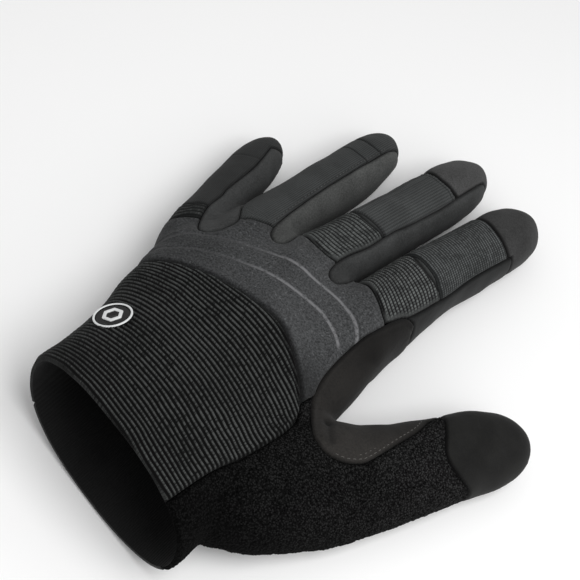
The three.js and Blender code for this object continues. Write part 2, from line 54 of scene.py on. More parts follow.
HAND = [
    ROW(-0.2, 13.4, 14, 43.9, 1.3, 57.9, 0, 2.35),
    ROW(1.7, 21.2, 13, 43.9, 1.1, 57.3, 0, 2.35),
    ROW(2.0, 40, 11, 43.2, -0.6, 55.5, 0, 2.35),
    ROW(1.2, 60, 8, 43.2, -1.2, 51.8, 0, 2.35),
    ROW(-0.8, 80, 5, 45.0, -1.2, 47.0, 0, 2.3),
    ROW(-2.1, 97, 1, 45.8, -1.2, 43.6, 0, 2.3),
    ROW(-2.6, 112, -4, 47.2, -1.2, 41.5, 0, 2.35),
    ROW(-2.8, 126, -8, 48.4, -1.0, 40.6, 0, 2.4),
    ROW(-3.0, 141, -12, 47.0, 2.0, 37.2, 0, 2.4),
]
MIDDLE = [
    ROW(-1.5, 116, 0, 11, 8, 33, 0, 2.4),
    ROW(-1, 134, 3, 14.3, 2.6, 41, 0, 2.4),
    ROW(0.3, 151, 6, 14.2, 3.6, 38.5, 0, 2.3),
    ROW(3, 170, 7, 13.4, 4.4, 35, 0, 2.3),
    ROW(5, 185, 7, 13, 4, 33, 0, 2.3),
    ROW(7, 200, 8, 12.8, 2.6, 31, 0, 2.3),
    ROW(9.3, 215, 8.5, 12.5, 0.6, 29, 0, 2.3),
    ROW(11.5, 230, 8.5, 12.4, -0.8, 27, 0, 2.3),
    ROW(13.2, 243, 8.5, 12.3, -0.8, 25, 0, 2.3),
    ROW(14.6, 253, 8.5, 11.2, -0.4, 22.5, 0, 2.2),
    ROW(15.5, 260, 8.5, 8.6, 1.0, 19.5, 0, 2.1),
    ROW(16, 264.5, 8.5, 5, 3.8, 15.8, 0, 2),
    ROW(16.2, 266.3, 8.5, 1.8, 7.4, 11.6, 0, 2),
]
INDEX = [
    ROW(29, 116, 0, 11, 9, 30, 0, 2.4),
    ROW(31.6, 134, 4, 15.2, 2.8, 38.5, 0, 2.4),
    ROW(32.4, 150, 6, 15.3, 3.4, 37.8, 0, 2.3),
    ROW(33.6, 167, 7.5, 14.7, 4.2, 35.4, 0, 2.3),
    ROW(35.2, 182, 8.5, 14.2, 3.8, 33.6, 0, 2.3),
    ROW(37.4, 197, 9.5, 13.5, 2.4, 31.8, 0, 2.3),
    ROW(40.2, 212, 10.5, 13.4, 0.4, 29.8, 0, 2.3),
    ROW(42.8, 226, 10.5, 13.5, -0.8, 27.8, 0, 2.3),
    ROW(45, 238, 10, 13.2, -0.8, 25.4, 0, 2.3),
    ROW(46.3, 247, 9, 11.8, -0.4, 22.8, 0, 2.2),
    ROW(47.2, 253.5, 8, 8.9, 1.2, 19.4, 0, 2.1),
    ROW(47.7, 257.5, 8, 5, 3.8, 15.4, 0, 2),
    ROW(47.9, 259, 8, 1.8, 7.4, 11.4, 0, 2),
]
RING = [
    ROW(-27.5, 113, 0, 11, 8, 30, 0, 2.4),
    ROW(-27.2, 129, 1, 14, 2.6, 38, 0, 2.4),
    ROW(-26.8, 146, 2, 13.4, 3.6, 36.5, 0, 2.3),
    ROW(-26.2, 162, 3, 12.8, 4.4, 33.5, 0, 2.3),
    ROW(-25.2, 177, 3, 12.3, 4, 31.5, 0, 2.3),
    ROW(-24.4, 192, 3, 12, 2.6, 29.5, 0, 2.3),
    ROW(-23.6, 206, 2.5, 11.8, 0.6, 27, 0, 2.3),
    ROW(-23, 218, 1.5, 11.6, -0.8, 25, 0, 2.3),
    ROW(-22.8, 229, 0.5, 11.2, -0.8, 23.2, 0, 2.3),
    ROW(-22.8, 238, 0, 10, -0.3, 20.8, 0, 2.2),
    ROW(-22.9, 244.5, 0, 7.6, 1.4, 18, 0, 2.1),
    ROW(-23, 248.3, 0, 4.4, 4, 14.8, 0, 2),
    ROW(-23, 249.7, 0, 1.6, 7, 11, 0, 2),
]
LITTLE = [
    ROW(-40, 106, -4, 6, 9, 24, 0, 2.4),
    ROW(-45.2, 123, -5, 9.2, 3.4, 30.4, 0, 2.4),
    ROW(-47.4, 136, -6, 9.8, 2.6, 30.6, 0, 2.3),
    ROW(-49.4, 150, -6, 9.9, 3, 28.3, 0, 2.3),
    ROW(-51.6, 164, -6.5, 10, 2.4, 26, 0, 2.3),
    ROW(-53.2, 177, -8, 10, 0.5, 23.8, 0, 2.3),
    ROW(-54.9, 188, -8, 9.9, -0.8, 21.8, 0, 2.3),
    ROW(-56, 196, -7, 8.8, -0.4, 19.8, 0, 2.2),
    ROW(-56.6, 202, -6, 6.6, 1.2, 17, 0, 2.1),
    ROW(-57, 205.6, -6, 3.8, 3.8, 14, 0, 2),
    ROW(-57.1, 206.8, -6, 1.5, 6.6, 10.6, 0, 2),
]
THUMB = [
    ROW(24, 30, 25, 16, 10, 44, 0, 2.1),
    ROW(32.5, 42.5, 29, 21, 3, 43, 8, 2.1),
    ROW(43, 56, 33, 24, 0.2, 40.5, 18, 2.1),
    ROW(54.6, 71.2, 34, 24.0, -0.5, 37, 27, 2.15),
    ROW(72, 94.3, 33, 19.9, 0.4, 31.4, 32, 2.2),
    ROW(81.2, 109.4, 32, 17.7, 0.6, 28.8, 34, 2.2),
    ROW(89.5, 126.3, 32, 16.6, 0.8, 27, 34, 2.2),
    ROW(95.2, 136.4, 32, 16, 0.8, 25.6, 34, 2.2),
    ROW(100.4, 144.6, 32, 14, 1.6, 24, 34, 2.15),
    ROW(104.1, 150.5, 32, 10.9, 3.4, 21.6, 34, 2.1),
    ROW(106.3, 154, 32, 6.8, 6.2, 18.2, 34, 2),
    ROW(107.3, 155.7, 32, 2.4, 10, 14.2, 34, 2),
]
CROTCH = [
    ROW(46, 84, 40, 20, 4, 34, 0, 2.2),
    ROW(50.5, 90.5, 40, 14, 6, 31, 0, 2.2),
    ROW(53.8, 95, 40, 8, 9, 26, 0, 2.1),
    ROW(55.6, 97.6, 40, 3, 13, 21, 0, 2),
]
# the webs between the fingers, nearly level with the back of the hand
WEBS = [
    [
        ROW(8, 118, 0, 9, 8, 33, 0, 2.2),
        ROW(11, 134, 2, 10, 5, 37, 0, 2.2),
        ROW(13, 143, 4, 8, 5, 36.2, 0, 2.2),
        ROW(14.8, 149, 5, 6, 6, 33.6, 0, 2.2),
        ROW(16, 153.5, 6, 4.2, 9, 29.5, 0, 2.1),
        ROW(16.6, 157, 6, 1.8, 13, 23, 0, 2),
    ],
    [
        ROW(-14, 120, 0, 9, 8, 33, 0, 2.2),
        ROW(-14, 136, 1, 10, 5, 37, 0, 2.2),
        ROW(-13.8, 146, 2, 7.5, 5, 35.6, 0, 2.2),
        ROW(-13.4, 152, 3, 5.4, 6, 33, 0, 2.2),
        ROW(-13, 156.5, 3, 3.6, 9, 28.5, 0, 2.1),
        ROW(-12.7, 160, 3, 1.6, 13, 22.5, 0, 2),
    ],
    [
        ROW(-38, 108, -2, 7, 8, 28, 0, 2.2),
        ROW(-38.6, 124, -3, 8, 5, 31.5, 0, 2.2),
        ROW(-39.4, 134, -3, 6.4, 5, 30.6, 0, 2.2),
        ROW(-40, 141, -3, 4.6, 6, 28.4, 0, 2.2),
        ROW(-40.3, 146.5, -3, 3, 9, 24.5, 0, 2.1),
        ROW(-40.5, 150, -3, 1.4, 12, 20, 0, 2),
    ],
]
# the root of the index finger bulges out over the crotch of the thumb
ROOT = [
    ROW(38, 96, 8, 8.2, 7, 30, 0, 2.2),
    ROW(37.8, 104, 8, 9.8, 7, 31, 0, 2.3),
    ROW(37.3, 112, 6, 10.4, 8, 32, 0, 2.3),
    ROW(36.8, 121, 4, 10.8, 8, 32, 0, 2.3),
    ROW(36.3, 129, 4, 10.7, 10, 32, 0, 2.3),
    ROW(35.8, 137, 4, 10.3, 10, 31, 0, 2.3),
]
FORMS = [(HAND, 96), (MIDDLE, 56), (INDEX, 56), (RING, 56), (LITTLE, 48), (THUMB, 64), (CROTCH, 40), (ROOT, 40)] + [(w, 40) for w in WEBS]


# ------------------------------------------------------------------ numbers
def P(*v):
    return np.array(v, float).reshape(-1, 2)


def pchip(x, y, xi):
    """Shape-keeping cubic through the rows of y at x."""
    h = np.diff(x)
    d = np.diff(y, axis=0) / h[:, None]
    m = np.zeros_like(y)
    a, b = d[:-1], d[1:]
    w1, w2 = (2 * h[1:] + h[:-1])[:, None], (h[1:] + 2 * h[:-1])[:, None]
    same = a * b > 0
    low = w1 / np.where(same, a, 1) + w2 / np.where(same, b, 1)
    m[1:-1] = np.where(same, (w1 + w2) / np.where(same, low, 1), 0)
    m[0], m[-1] = d[0], d[-1]
    k = np.clip(np.searchsorted(x, xi) - 1, 0, len(x) - 2)
    t, hk = ((xi - x[k]) / h[k])[:, None], h[k][:, None]
    return (
        (1 + 2 * t) * (1 - t) ** 2 * y[k]
        + t * (1 - t) ** 2 * hk * m[k]
        + t * t * (3 - 2 * t) * y[k + 1]
        + t * t * (t - 1) * hk * m[k + 1]
    )


def smooth(points, closed=False, n=5):
    """Catmull-Rom curve through the points."""
    p = np.array(points, float)
    ext = np.vstack([p[-1:], p, p[:2]]) if closed else np.vstack([2 * p[0] - p[1], p, 2 * p[-1] - p[-2]])
    out = []
    for i in range(1, len(ext) - 2):
        a, b, c, d = ext[i - 1], ext[i], ext[i + 1], ext[i + 2]
        for t in np.arange(n) / n:
            out.append(0.5 * (2 * b + (c - a) * t + (2 * a - 5 * b + 4 * c - d) * t * t + (3 * b - 3 * c + d - a) * t ** 3))
    if not closed:
        out.append(ext[-2])
    return np.array(out)


def step(e0, e1, x):
    t = np.clip((x - e0) / (e1 - e0), 0, 1)
    return t * t * (3 - 2 * t)


def hashed(ix, iy, iz, seed):
    h = (ix.astype(np.int64) * 374761393 + iy.astype(np.int64) * 668265263 + iz.astype(np.int64) * 2147483647 + seed * 1274126177) & 0xFFFFFFFF
    h = ((h ^ (h >> 13)) * 1274126177) & 0xFFFFFFFF
    h = ((h ^ (h >> 16)) * 2246822519) & 0xFFFFFFFF
    return ((h ^ (h >> 15)) & 0xFFFFFF) / float(0xFFFFFF)


def noise(p, size, seed=0):
    """Smooth value noise, -1 to 1, with features of the given size in mm."""
    q = np.asarray(p) / size
    i = np.floor(q).astype(np.int64)
    f = q - i
    f = f * f * f * (f * (f * 6 - 15) + 10)
    total = 0
    for dx in (0, 1):
        for dy in (0, 1):
            for dz in (0, 1):
                w = (f[:, 0] if dx else 1 - f[:, 0]) * (f[:, 1] if dy else 1 - f[:, 1]) * (f[:, 2] if dz else 1 - f[:, 2])
                total = total + w * hashed(i[:, 0] + dx, i[:, 1] + dy, i[:, 2] + dz, seed)
    return total * 2 - 1


def cells(p, size, seed=0):
    """Distance to the nearest point of a jittered lattice, in units of size."""
    q = np.asarray(p) / size
    i = np.floor(q).astype(np.int64)
    best = np.full(len(q), 9.0)
    for dx in (-1, 0, 1):
        for dy in (-1, 0, 1):
            for dz in (-1, 0, 1):
                jx, jy, jz = i[:, 0] + dx, i[:, 1] + dy, i[:, 2] + dz
                at = np.stack([jx + hashed(jx, jy, jz, seed), jy + hashed(jx, jy, jz, seed + 7), jz + hashed(jx, jy, jz, seed + 13)], 1)
                best = np.minimum(best, ((q - at) ** 2).sum(1))
    return np.sqrt(best)


# ------------------------------------------------------------------ base skin
def dense(rows, pitch=1.5):
    r = np.array(rows, float)
    d = np.r_[0, np.cumsum(np.linalg.norm(np.diff(r[:, :2], axis=0), axis=1))]
    n = max(2, int(round(d[-1] / pitch)))
    return pchip(d, r, np.linspace(0, d[-1], n + 1))


def ring(row, sides, off=0.0):
    x, y, yaw, half, low, high, roll, power = row
    a, r = np.radians(yaw), -np.radians(roll)
    t = np.arange(sides) / sides * 2 * np.pi
    c, s = np.cos(t), np.sin(t)
    u = np.sign(c) * np.abs(c) ** (2 / power) * (half - off)
    w = np.sign(s) * np.abs(s) ** (2 / power) * ((high - low) / 2 - off)
    p = np.array([x, y, (low + high) / 2]) + (u * np.cos(r) - w * np.sin(r))[:, None] * np.array([np.cos(a), -np.sin(a), 0])
    p[:, 2] += u * np.sin(r) + w * np.cos(r)
    return p


def lofted(rows, sides):
    rings = [ring(r, sides) for r in dense(rows)]
    v = np.concatenate(rings + [rings[0].mean(0)[None], rings[-1].mean(0)[None]])
    m, f = len(rings), []
    for i in range(m - 1):
        for k in range(sides):
            a, b = i * sides + k, i * sides + (k + 1) % sides
            f.append((b, a, a + sides))
            f.append((b, a + sides, b + sides))
    for k in range(sides):
        f.append((m * sides, k, (k + 1) % sides))
        f.append((m * sides + 1, (m - 1) * sides + (k + 1) % sides, (m - 1) * sides + k))
    return v, np.array(f)


def remeshed():
    vs, fs, n = [], [], 0
    for rows, sides in FORMS:
        v, f = lofted(rows, sides)
        vs.append(v)
        fs.append(f + n)
        n += len(v)
    me = bpy.data.meshes.new("base")
    me.from_pydata(np.concatenate(vs).tolist(), [], np.concatenate(fs).tolist())
    me.update()
    ob = bpy.data.objects.new("base", me)
    bpy.context.scene.collection.objects.link(ob)
    mod = ob.modifiers.new("grain", "REMESH")
    mod.mode, mod.voxel_size, mod.adaptivity = "VOXEL", VOXEL, 0.0
    got = ob.evaluated_get(bpy.context.evaluated_depsgraph_get()).to_mesh()
    v = np.zeros(len(got.vertices) * 3)
    got.vertices.foreach_get("co", v)
    got.calc_loop_triangles()
    f = np.zeros(len(got.loop_triangles) * 3, np.int64)
    got.loop_triangles.foreach_get("vertices", f)
    bpy.data.objects.remove(ob)
    bpy.data.meshes.remove(me)
    return v.reshape(-1, 3), f.reshape(-1, 3)


def largest_part(n, f):
    """The triangles of the largest connected part."""
    label = np.arange(n)
    while True:
        low = label[f].min(1)
        new = label.copy()
        for k in range(3):
            np.minimum.at(new, f[:, k], low)
        new = new[new]
        if (new == label).all():
            break
        label = new
    ids, counts = np.unique(label[f[:, 0]], return_counts=True)
    return label[f[:, 0]] == ids[counts.argmax()]


def compact(v, f):
    used = np.unique(f)
    to = np.full(len(v), -1)
    to[used] = np.arange(len(used))
    return v[used], to[f]


def normals(v, f):
    c = np.cross(v[f[:, 1]] - v[f[:, 0]], v[f[:, 2]] - v[f[:, 0]])
    n = np.zeros_like(v)
    for k in range(3):
        for a in range(3):
            n[:, a] += np.bincount(f[:, k], c[:, a], len(v))
    return n / np.maximum(np.linalg.norm(n, axis=1), 1e-12)[:, None]


def edge_list(f):
    e = np.sort(np.concatenate([f[:, [0, 1]], f[:, [1, 2]], f[:, [2, 0]]]), 1)
    return np.unique(e, axis=0)


def laplace(v, e, count):
    out = np.zeros_like(v)
    for a in range(v.shape[1]):
        out[:, a] = np.bincount(e[:, 0], v[e[:, 1], a], len(v)) + np.bincount(e[:, 1], v[e[:, 0], a], len(v))
    return out / count[:, None] - v


base_v, base_f = remeshed()
keep = largest_part(len(base_v), base_f)
base_v, base_f = compact(base_v, base_f[keep])
_e = edge_list(base_f)
_c = np.bincount(_e.ravel(), minlength=len(base_v)).astype(float)
base_v[:, 2] = np.maximum(base_v[:, 2], 0)
for i in range(14):                                   # even the voxel steps out
    base_v += 0.55 * laplace(base_v, _e, _c)
    base_v -= 0.57 * laplace(base_v, _e, _c)
for i in range(16):                                   # fill the sharp valleys where forms meet
    n_ = normals(base_v, base_f)
    l_ = laplace(base_v, _e, _c)
    out_ = np.maximum((l_ * n_).sum(1), 0)
    base_v += 0.8 * out_[:, None] * n_
for i in range(5):
    base_v += 0.5 * laplace(base_v, _e, _c)
    base_v -= 0.52 * laplace(base_v, _e, _c)
base_v[:, 2] = np.maximum(base_v[:, 2], 0)
base_n = normals(base_v, base_f)
if base_n[base_v[:, 2].argmax(), 2] < 0:
    base_f = base_f[:, ::-1].copy()
    base_n = -base_n

# broad unevenness of cloth, none of it under the floor
lift = np.clip(base_v[:, 2] / 6, 0, 1)
soft = 0.30 * noise(base_v, 26, 3) + 0.20 * noise(base_v, 11, 4) + 0.08 * noise(base_v, 5, 5)
base_v += base_n * (soft * lift)[:, None]
base_v[:, 2] = np.maximum(base_v[:, 2], 0)
base_n = normals(base_v, base_f)
for i in range(2):
    base_n += 0.5 * laplace(base_n, _e, _c)
    base_n /= np.linalg.norm(base_n, axis=1)[:, None]


# ------------------------------------------------------------------ seams
def area_of(points):
    """Signed distance, in the plane seen from above, to a closed outline; inside is negative."""
    pts = np.array(points, float)
    nxt = np.roll(pts, -1, 0)

    def at(p):
        x, y = p[:, 0], p[:, 1]
        best, inside = np.full(len(p), 1e12), np.zeros(len(p), bool)
        for (ax, ay), (bx, by) in zip(pts, nxt):
            dx, dy = bx - ax, by - ay
            ll = dx * dx + dy * dy
            if ll < 1e-12:
                continue
            t = np.clip(((x - ax) * dx + (y - ay) * dy) / ll, 0, 1)
            best = np.minimum(best, (x - ax - t * dx) ** 2 + (y - ay - t * dy) ** 2)
            if dy:
                inside ^= ((ay > y) != (by > y)) & (x < dx * (y - ay) / dy + ax)
        d = np.sqrt(best)
        return np.where(inside, -d, d)

    return at


def line_of(points):
    """Signed distance to an open line, positive on its left side going along it, and how far along it the nearest point is."""
    pts = np.array(points, float)
    run = np.r_[0, np.cumsum(np.linalg.norm(np.diff(pts, axis=0), axis=1))]

    def at(p):
        x, y = p[:, 0], p[:, 1]
        best, side, far = np.full(len(p), 1e12), np.ones(len(p)), np.zeros(len(p))
        for i in range(len(pts) - 1):
            (ax, ay), (bx, by) = pts[i], pts[i + 1]
            dx, dy = bx - ax, by - ay
            ll = dx * dx + dy * dy
            t = np.clip(((x - ax) * dx + (y - ay) * dy) / ll, 0, 1)
            d = (x - ax - t * dx) ** 2 + (y - ay - t * dy) ** 2
            less = d < best
            best = np.where(less, d, best)
            side = np.where(less, np.where(dx * (y - ay) - dy * (x - ax) >= 0, 1.0, -1.0), side)
            far = np.where(less, run[i] + t * math.sqrt(ll), far)
        return np.sqrt(best) * side, far

    return at


HIGH = 90.0


def region(points, z0=-5.0, z1=HIGH):
    flat = area_of(points)
    return lambda p: np.maximum(np.maximum(flat(p), z0 - p[:, 2]), p[:, 2] - z1)


def under(line, x0, x1):
    a = np.array(line, float)
    return lambda p: np.maximum(np.maximum(p[:, 2] - np.interp(p[:, 1], a[:, 0], a[:, 1]), x0 - p[:, 0]), p[:, 0] - x1)


def both(*fs):
    return lambda p: np.minimum.reduce([f(p) for f in fs])


def within(*fs):
    return lambda p: np.maximum.reduce([f(p) for f in fs])


def without(a, b):
    return lambda p: np.maximum(a(p), -b(p))


def J(*runs):
    return np.vstack(runs)


ribTop = smooth(P(-60, 100.5, -50, 99.4, -44.2, 99.8, -36.8, 102.2, -30, 104.1, -22.8, 106, -16.3, 107.3, -9.5, 108.2, -2.2, 108.8, 5, 109.1, 11.4, 108.4, 15.8, 106.6, 21.1, 103.3, 25.9, 99.9, 30.5, 96.5, 34.7, 93.1, 38, 90))
ribSide = smooth(P(38, 90, 40.3, 84, 41.2, 78, 41.2, 70, 39.9, 59.9, 37.9, 48.7, 36.3, 41, 34.7, 31.6, 33.4, 21, 32, 6))
saddleSeam = smooth(P(45.9, 155.8, 43.3, 152.6, 41.4, 147.2, 39, 136, 36.4, 124, 36.4, 108, 38.6, 97.8, 43.4, 88.5, 48.6, 80.5, 53.7, 77.6, 58.5, 77.7, 63.4, 80.1, 67.3, 83.8, 70.1, 88.8, 72.9, 102.7, 75.1, 115.3, 74.9, 124))
thumbCapSeam = smooth(P(66, 146, 76.6, 133.6, 83.5, 123.3, 89.1, 116.4, 97.4, 116.2, 108, 121, 125, 126))
littleSeam = smooth(P(-39.6, 124.2, -42, 126.6, -43.9, 130.6, -45.5, 135.8, -47, 142, -47.5, 150.8, -48.5, 155.9, -49.3, 168.7, -49.9, 177.4, -51.4, 186.2, -53.4, 195))
ringSeam = smooth(P(-16.2, 141.5, -18.3, 143.3, -19.7, 146, -20.4, 151.1, -21, 161.7, -20.8, 172.8, -20.2, 188, -19.6, 196, -18.6, 211.7, -17.6, 223.6, -17, 234))
middleSeam = smooth(P(12.2, 142, 10.2, 143.6, 8.8, 147.4, 8.7, 153, 9.6, 160.9, 11.9, 171.7, 13, 181.3, 14, 190, 16.1, 200.1, 18.3, 213.5, 19.6, 222.7, 20.8, 233.8, 22, 246))
indexSeam = smooth(P(39.4, 141.4, 41.4, 146.7, 44.3, 155.9, 46.8, 173, 48, 182, 49.6, 197, 52.2, 212, 54.9, 226))
palmLine = [[-10, 16], [60, 14], [110, 12.5], [140, 11], [170, 10.5], [200, 8.5], [230, 7], [290, 6.5]]
wallLine = [[100, 21], [150, 19], [185, 15.5], [215, 13.5], [250, 11], [290, 10]]
THUMB_SIDE = P(42, -20, 140, -20, 140, 170, 72, 150, 52, 106, 42, 100)
THUMB_EDGE = 5.5
palmHollow = both(region(P(36, 60, 50, 60, 62, 98, 56, 103, 36, 103), -5, 18), region(P(56, 98, 64, 98, 84, 128, 77, 136, 56, 108), -5, 9))

idxBase = smooth(P(15.6, 158, 18, 155.6, 24.4, 152.3, 32, 147, 39.2, 141.8, 50, 138, 62, 136))
midBase = smooth(P(-15, 157, -13.9, 156, -9.6, 154.6, -4, 151.4, 0.9, 150.2, 5, 150.6, 9.6, 152.6, 15, 152.6))
idxMid = smooth(P(20, 186, 24.8, 184.6, 33.5, 181.7, 40.6, 179.2, 45.2, 177, 62, 172))
midMid = smooth(P(-14, 188, -9, 186.4, -2.7, 184.9, 5.1, 183.6, 12, 183.4, 17, 182.6))
littleBase = smooth(P(-75, 125, -54.5, 126.2, -51.4, 127.4, -48.7, 129.6, -44.6, 132.6, -40, 133.4))
littleMid = smooth(P(-75, 136, -54, 136.2, -51, 138, -46, 141.2, -40, 142))
idxCap = smooth(P(28, 234, 32.3, 231, 39.1, 228.4, 45.7, 225.6, 52.1, 224, 62, 224.5, 75, 224.5))
midCap = smooth(P(-8, 239, 0.5, 236.5, 7.9, 233.6, 13.6, 233.2, 21.4, 233.6, 27, 240))
ringCap = smooth(P(-42, 231.5, -30, 229.5, -23, 228.4, -16.6, 228.6, -12, 229))
ringBase = smooth(P(-45, 140, -32.6, 139.6, -29.2, 142.7, -25.1, 145.2, -20.4, 148.4, -17, 150))

ORDER = [
    ("thumb_tip_cap", region(J(thumbCapSeam, P(125, 180, 66, 180)))),
    ("thumb_saddle", without(region(J(saddleSeam, P(76.6, 134, 66, 146, 56, 150, 50, 155)), THUMB_EDGE), palmHollow)),
    ("palm_panel", both(
        palmHollow,
        without(under(palmLine, -100, 140), region(THUMB_SIDE, THUMB_EDGE, 60)),
        region(J(indexSeam, P(80, 226, 80, 141)), 4),
        within(region(P(38, 141, 80, 141, 80, 225, 44, 225), 0), under(wallLine, -90, 90)),
    )),
    ("fourchette_little_ring", both(
        region(J(littleSeam, smooth(P(-50, 201, -47, 206, -44.3, 196, -41.5, 180, -39.8, 165, -37.4, 150, -32.6, 140.4, -31.5, 136.6, -32.4, 131.5, -34.6, 127.2, -37.3, 124.4))), 0),
        within(region(P(-39, 138, -39.8, 165, -41.5, 180, -44, 196, -44, 252, -23, 252, -25, 138), 0), under(wallLine, -90, 90)),
    )),
    ("fourchette_ring_middle", both(
        region(J(ringSeam, smooth(P(-16, 241, -9, 245, -6.5, 220, -9, 200, -11, 177, -12.9, 160, -11.9, 154, -11.4, 148, -12, 143.6, -14, 141.2))), 0),
        within(region(P(-14, 146, -13.2, 160, -11, 177, -9, 200, -6.5, 220, -6, 270, 15, 270, 3, 170, 0, 146), 0), under(wallLine, -90, 90)),
    )),
    ("fourchette_middle_index", both(
        region(J(middleSeam, smooth(P(22.6, 255, 29, 262, 27.6, 235, 23.8, 215, 20.4, 195, 18.2, 180, 16.4, 165, 15.8, 157, 16.3, 150, 16.1, 145.6, 15.3, 143.1, 14, 142))), 0),
        region(P(8, 139, 22, 139, 22, 152, 8, 152), 0, 28),
        within(region(P(15.6, 142, 16.4, 165, 18.2, 180, 20.4, 195, 23.8, 215, 26.4, 228, 44, 223, 34, 167, 32, 142), 0), under(wallLine, -90, 90)),
    )),
    ("index_tip_cap", region(J(idxCap, P(75, 275, 30, 275)))),
    ("middle_tip_cap", region(J(midCap, P(27, 280, -8, 280)))),
    ("ring_tip_cap", region(J(ringCap, P(-12, 262, -42, 262)))),
    ("index_back", region(J(idxMid, P(62, 240, 28, 240, 24, 214)))),
    ("middle_back", region(J(midMid, P(20.2, 195, 23.8, 215, 27, 240, -10, 250)))),
    ("index_knuckle_band", region(J(idxBase, P(62, 190, 20, 190)))),
    ("middle_knuckle_band", region(J(midBase, P(17.6, 190, -16, 190)))),
    ("ring_back", region(J(ringBase, P(-15.4, 240, -45, 240)))),
    ("little_back", region(J(littleMid, P(-40, 215, -75, 215)))),
    ("little_knuckle_band", region(J(littleBase, P(-40, 150, -75, 150)))),
    ("back_panel", region(J(ribTop, ribSide[1:], P(-75, 6, -75, 103.5)))),
    ("thumb_panel", region(J(ribSide[::-1][:-1], P(38, 90, 38.3, 93, 38.9, 96.8, 49, 100, 66, 118, 73, 137, 90, 140, 140, 140, 140, -20, 20, -20)))),
    ("knuckle_panel", region(P(-90, 90, 70, 80, 70, 175, -90, 175))),
]
NAMES = [n for n, _ in ORDER]
FIELD = dict(ORDER)
cuff_at = np.array([1.7, 21.2])
cuff_dir = np.array([math.sin(math.radians(13)), math.cos(math.radians(13))])


def past_cuff(p):
    return -(p[:, :2] - cuff_at) @ cuff_dir


base_R = {n: f(base_v) for n, f in ORDER}
base_cuff = past_cuff(base_v)


def seam_field(name):
    """Signed distance to the piece's own edge; inside is negative."""
    before = NAMES[: NAMES.index(name)]

    def at(p):
        d = FIELD[name](p)
        for b in before:
            d = np.maximum(d, -FIELD[b](p))
        return np.maximum(d + GAP / 2, past_cuff(p))

    return at


# ------------------------------------------------------------------ patches
COLS = ["x", "y", "z", "nx", "ny", "nz", "d", "s", "t", "m", "k"]
D, S, T, M, K = 6, 7, 8, 9, 10


def split(v, f, col, level, eps=0.03):
    """Cuts every triangle along the line where a column has this value."""
    g = v[:, col] - level
    near = np.abs(g) < eps
    g[near] = 0
    s = np.sign(g)
    sf = s[f]
    cut = (sf.min(1) < 0) & (sf.max(1) > 0)
    if not cut.any():
        return v, f
    c, sc = f[cut], sf[cut]
    parts = [f[~cut]]
    n = len(v)
    zero = (sc == 0).sum(1)
    lone = np.where(zero == 1, (sc == 0).argmax(1), 0)
    two = zero == 0
    total = sc.sum(1)                      # +1: one below, two above
    lone[two] = (sc[two] == -total[two, None]).argmax(1)
    r = np.arange(len(c))
    a, b, d = c[r, lone], c[r, (lone + 1) % 3], c[r, (lone + 2) % 3]
    pairs = np.concatenate([np.stack([b, d], 1)[~two], np.stack([a, b], 1)[two], np.stack([a, d], 1)[two]])
    lo, hi = pairs.min(1), pairs.max(1)
    uniq, inv = np.unique(lo * n + hi, return_inverse=True)
    ul, uh = uniq // n, uniq % n
    w = (g[ul] / (g[ul] - g[uh]))[:, None]
    new = v[ul] * (1 - w) + v[uh] * w
    new[:, col] = level
    inv = inv.ravel() + n
    k1, k2 = int((~two).sum()), int(two.sum())
    m0, m1, m2 = inv[:k1], inv[k1:k1 + k2], inv[k1 + k2:]
    if k1:
        parts += [np.stack([a[~two], b[~two], m0], 1), np.stack([a[~two], m0, d[~two]], 1)]
    if k2:
        parts += [np.stack([a[two], m1, m2], 1), np.stack([m1, b[two], d[two]], 1), np.stack([m1, d[two], m2], 1)]
    return np.vstack([v, new]), np.concatenate(parts)


def quartered(v, f):
    """Each triangle into four."""
    n = len(v)
    e = np.concatenate([f[:, [0, 1]], f[:, [1, 2]], f[:, [2, 0]]])
    uniq, inv = np.unique(e.min(1) * n + e.max(1), return_inverse=True)
    new = (v[uniq // n] + v[uniq % n]) / 2
    i = inv.ravel().reshape(3, -1) + n
    return np.vstack([v, new]), np.concatenate([
        np.stack([f[:, 0], i[0], i[2]], 1), np.stack([f[:, 1], i[1], i[0]], 1),
        np.stack([f[:, 2], i[2], i[1]], 1), np.stack([i[0], i[1], i[2]], 1)])


def cut_out(name, gap=GAP):
    """The piece's part of the base skin, with the distance to its edge in column d."""
    phi = base_R[name].copy()
    for b in NAMES[: NAMES.index(name)]:
        phi = np.maximum(phi, -base_R[b])
    phi = np.maximum(phi + gap / 2, base_cuff)
    v = np.zeros((len(base_v), len(COLS)))
    v[:, :3], v[:, 3:6], v[:, D] = base_v, base_n, phi
    f = base_f[(phi[base_f] < 0).any(1)]
    v, f = compact(v, f)
    v, f = split(v, f, D, 0.0, 0.06)
    f = f[(v[f, D].mean(1) < 0) & (v[f, D].max(1) < 1e-6 + 0.06)]
    f = f[largest_part(len(v), f)]
    v, f = compact(v, f)
    v[:, D] = np.maximum(-v[:, D], 0)
    if gap < GAP:
        return v, f
    # the distance along the surface, where the wall is steep
    at = seam_field(name)
    near = np.nonzero((v[:, D] > 0) & (v[:, D] < 5))[0]
    p, nn = v[near, :3], v[near, 3:6]
    up = np.where(np.abs(nn[:, 2:]) < 0.8, np.array([[0, 0, 1.0]]), np.array([[0, 1.0, 0]]))
    t1 = np.cross(nn, up)
    t1 /= np.linalg.norm(t1, axis=1)[:, None]
    t2 = np.cross(nn, t1)
    g1 = (at(p + 0.3 * t1) - at(p - 0.3 * t1)) / 0.6
    g2 = (at(p + 0.3 * t2) - at(p - 0.3 * t2)) / 0.6
    v[near, D] /= np.clip(np.hypot(g1, g2), 0.4, 1)
    v[:, D] = np.minimum(v[:, D], 30)
    return v, f


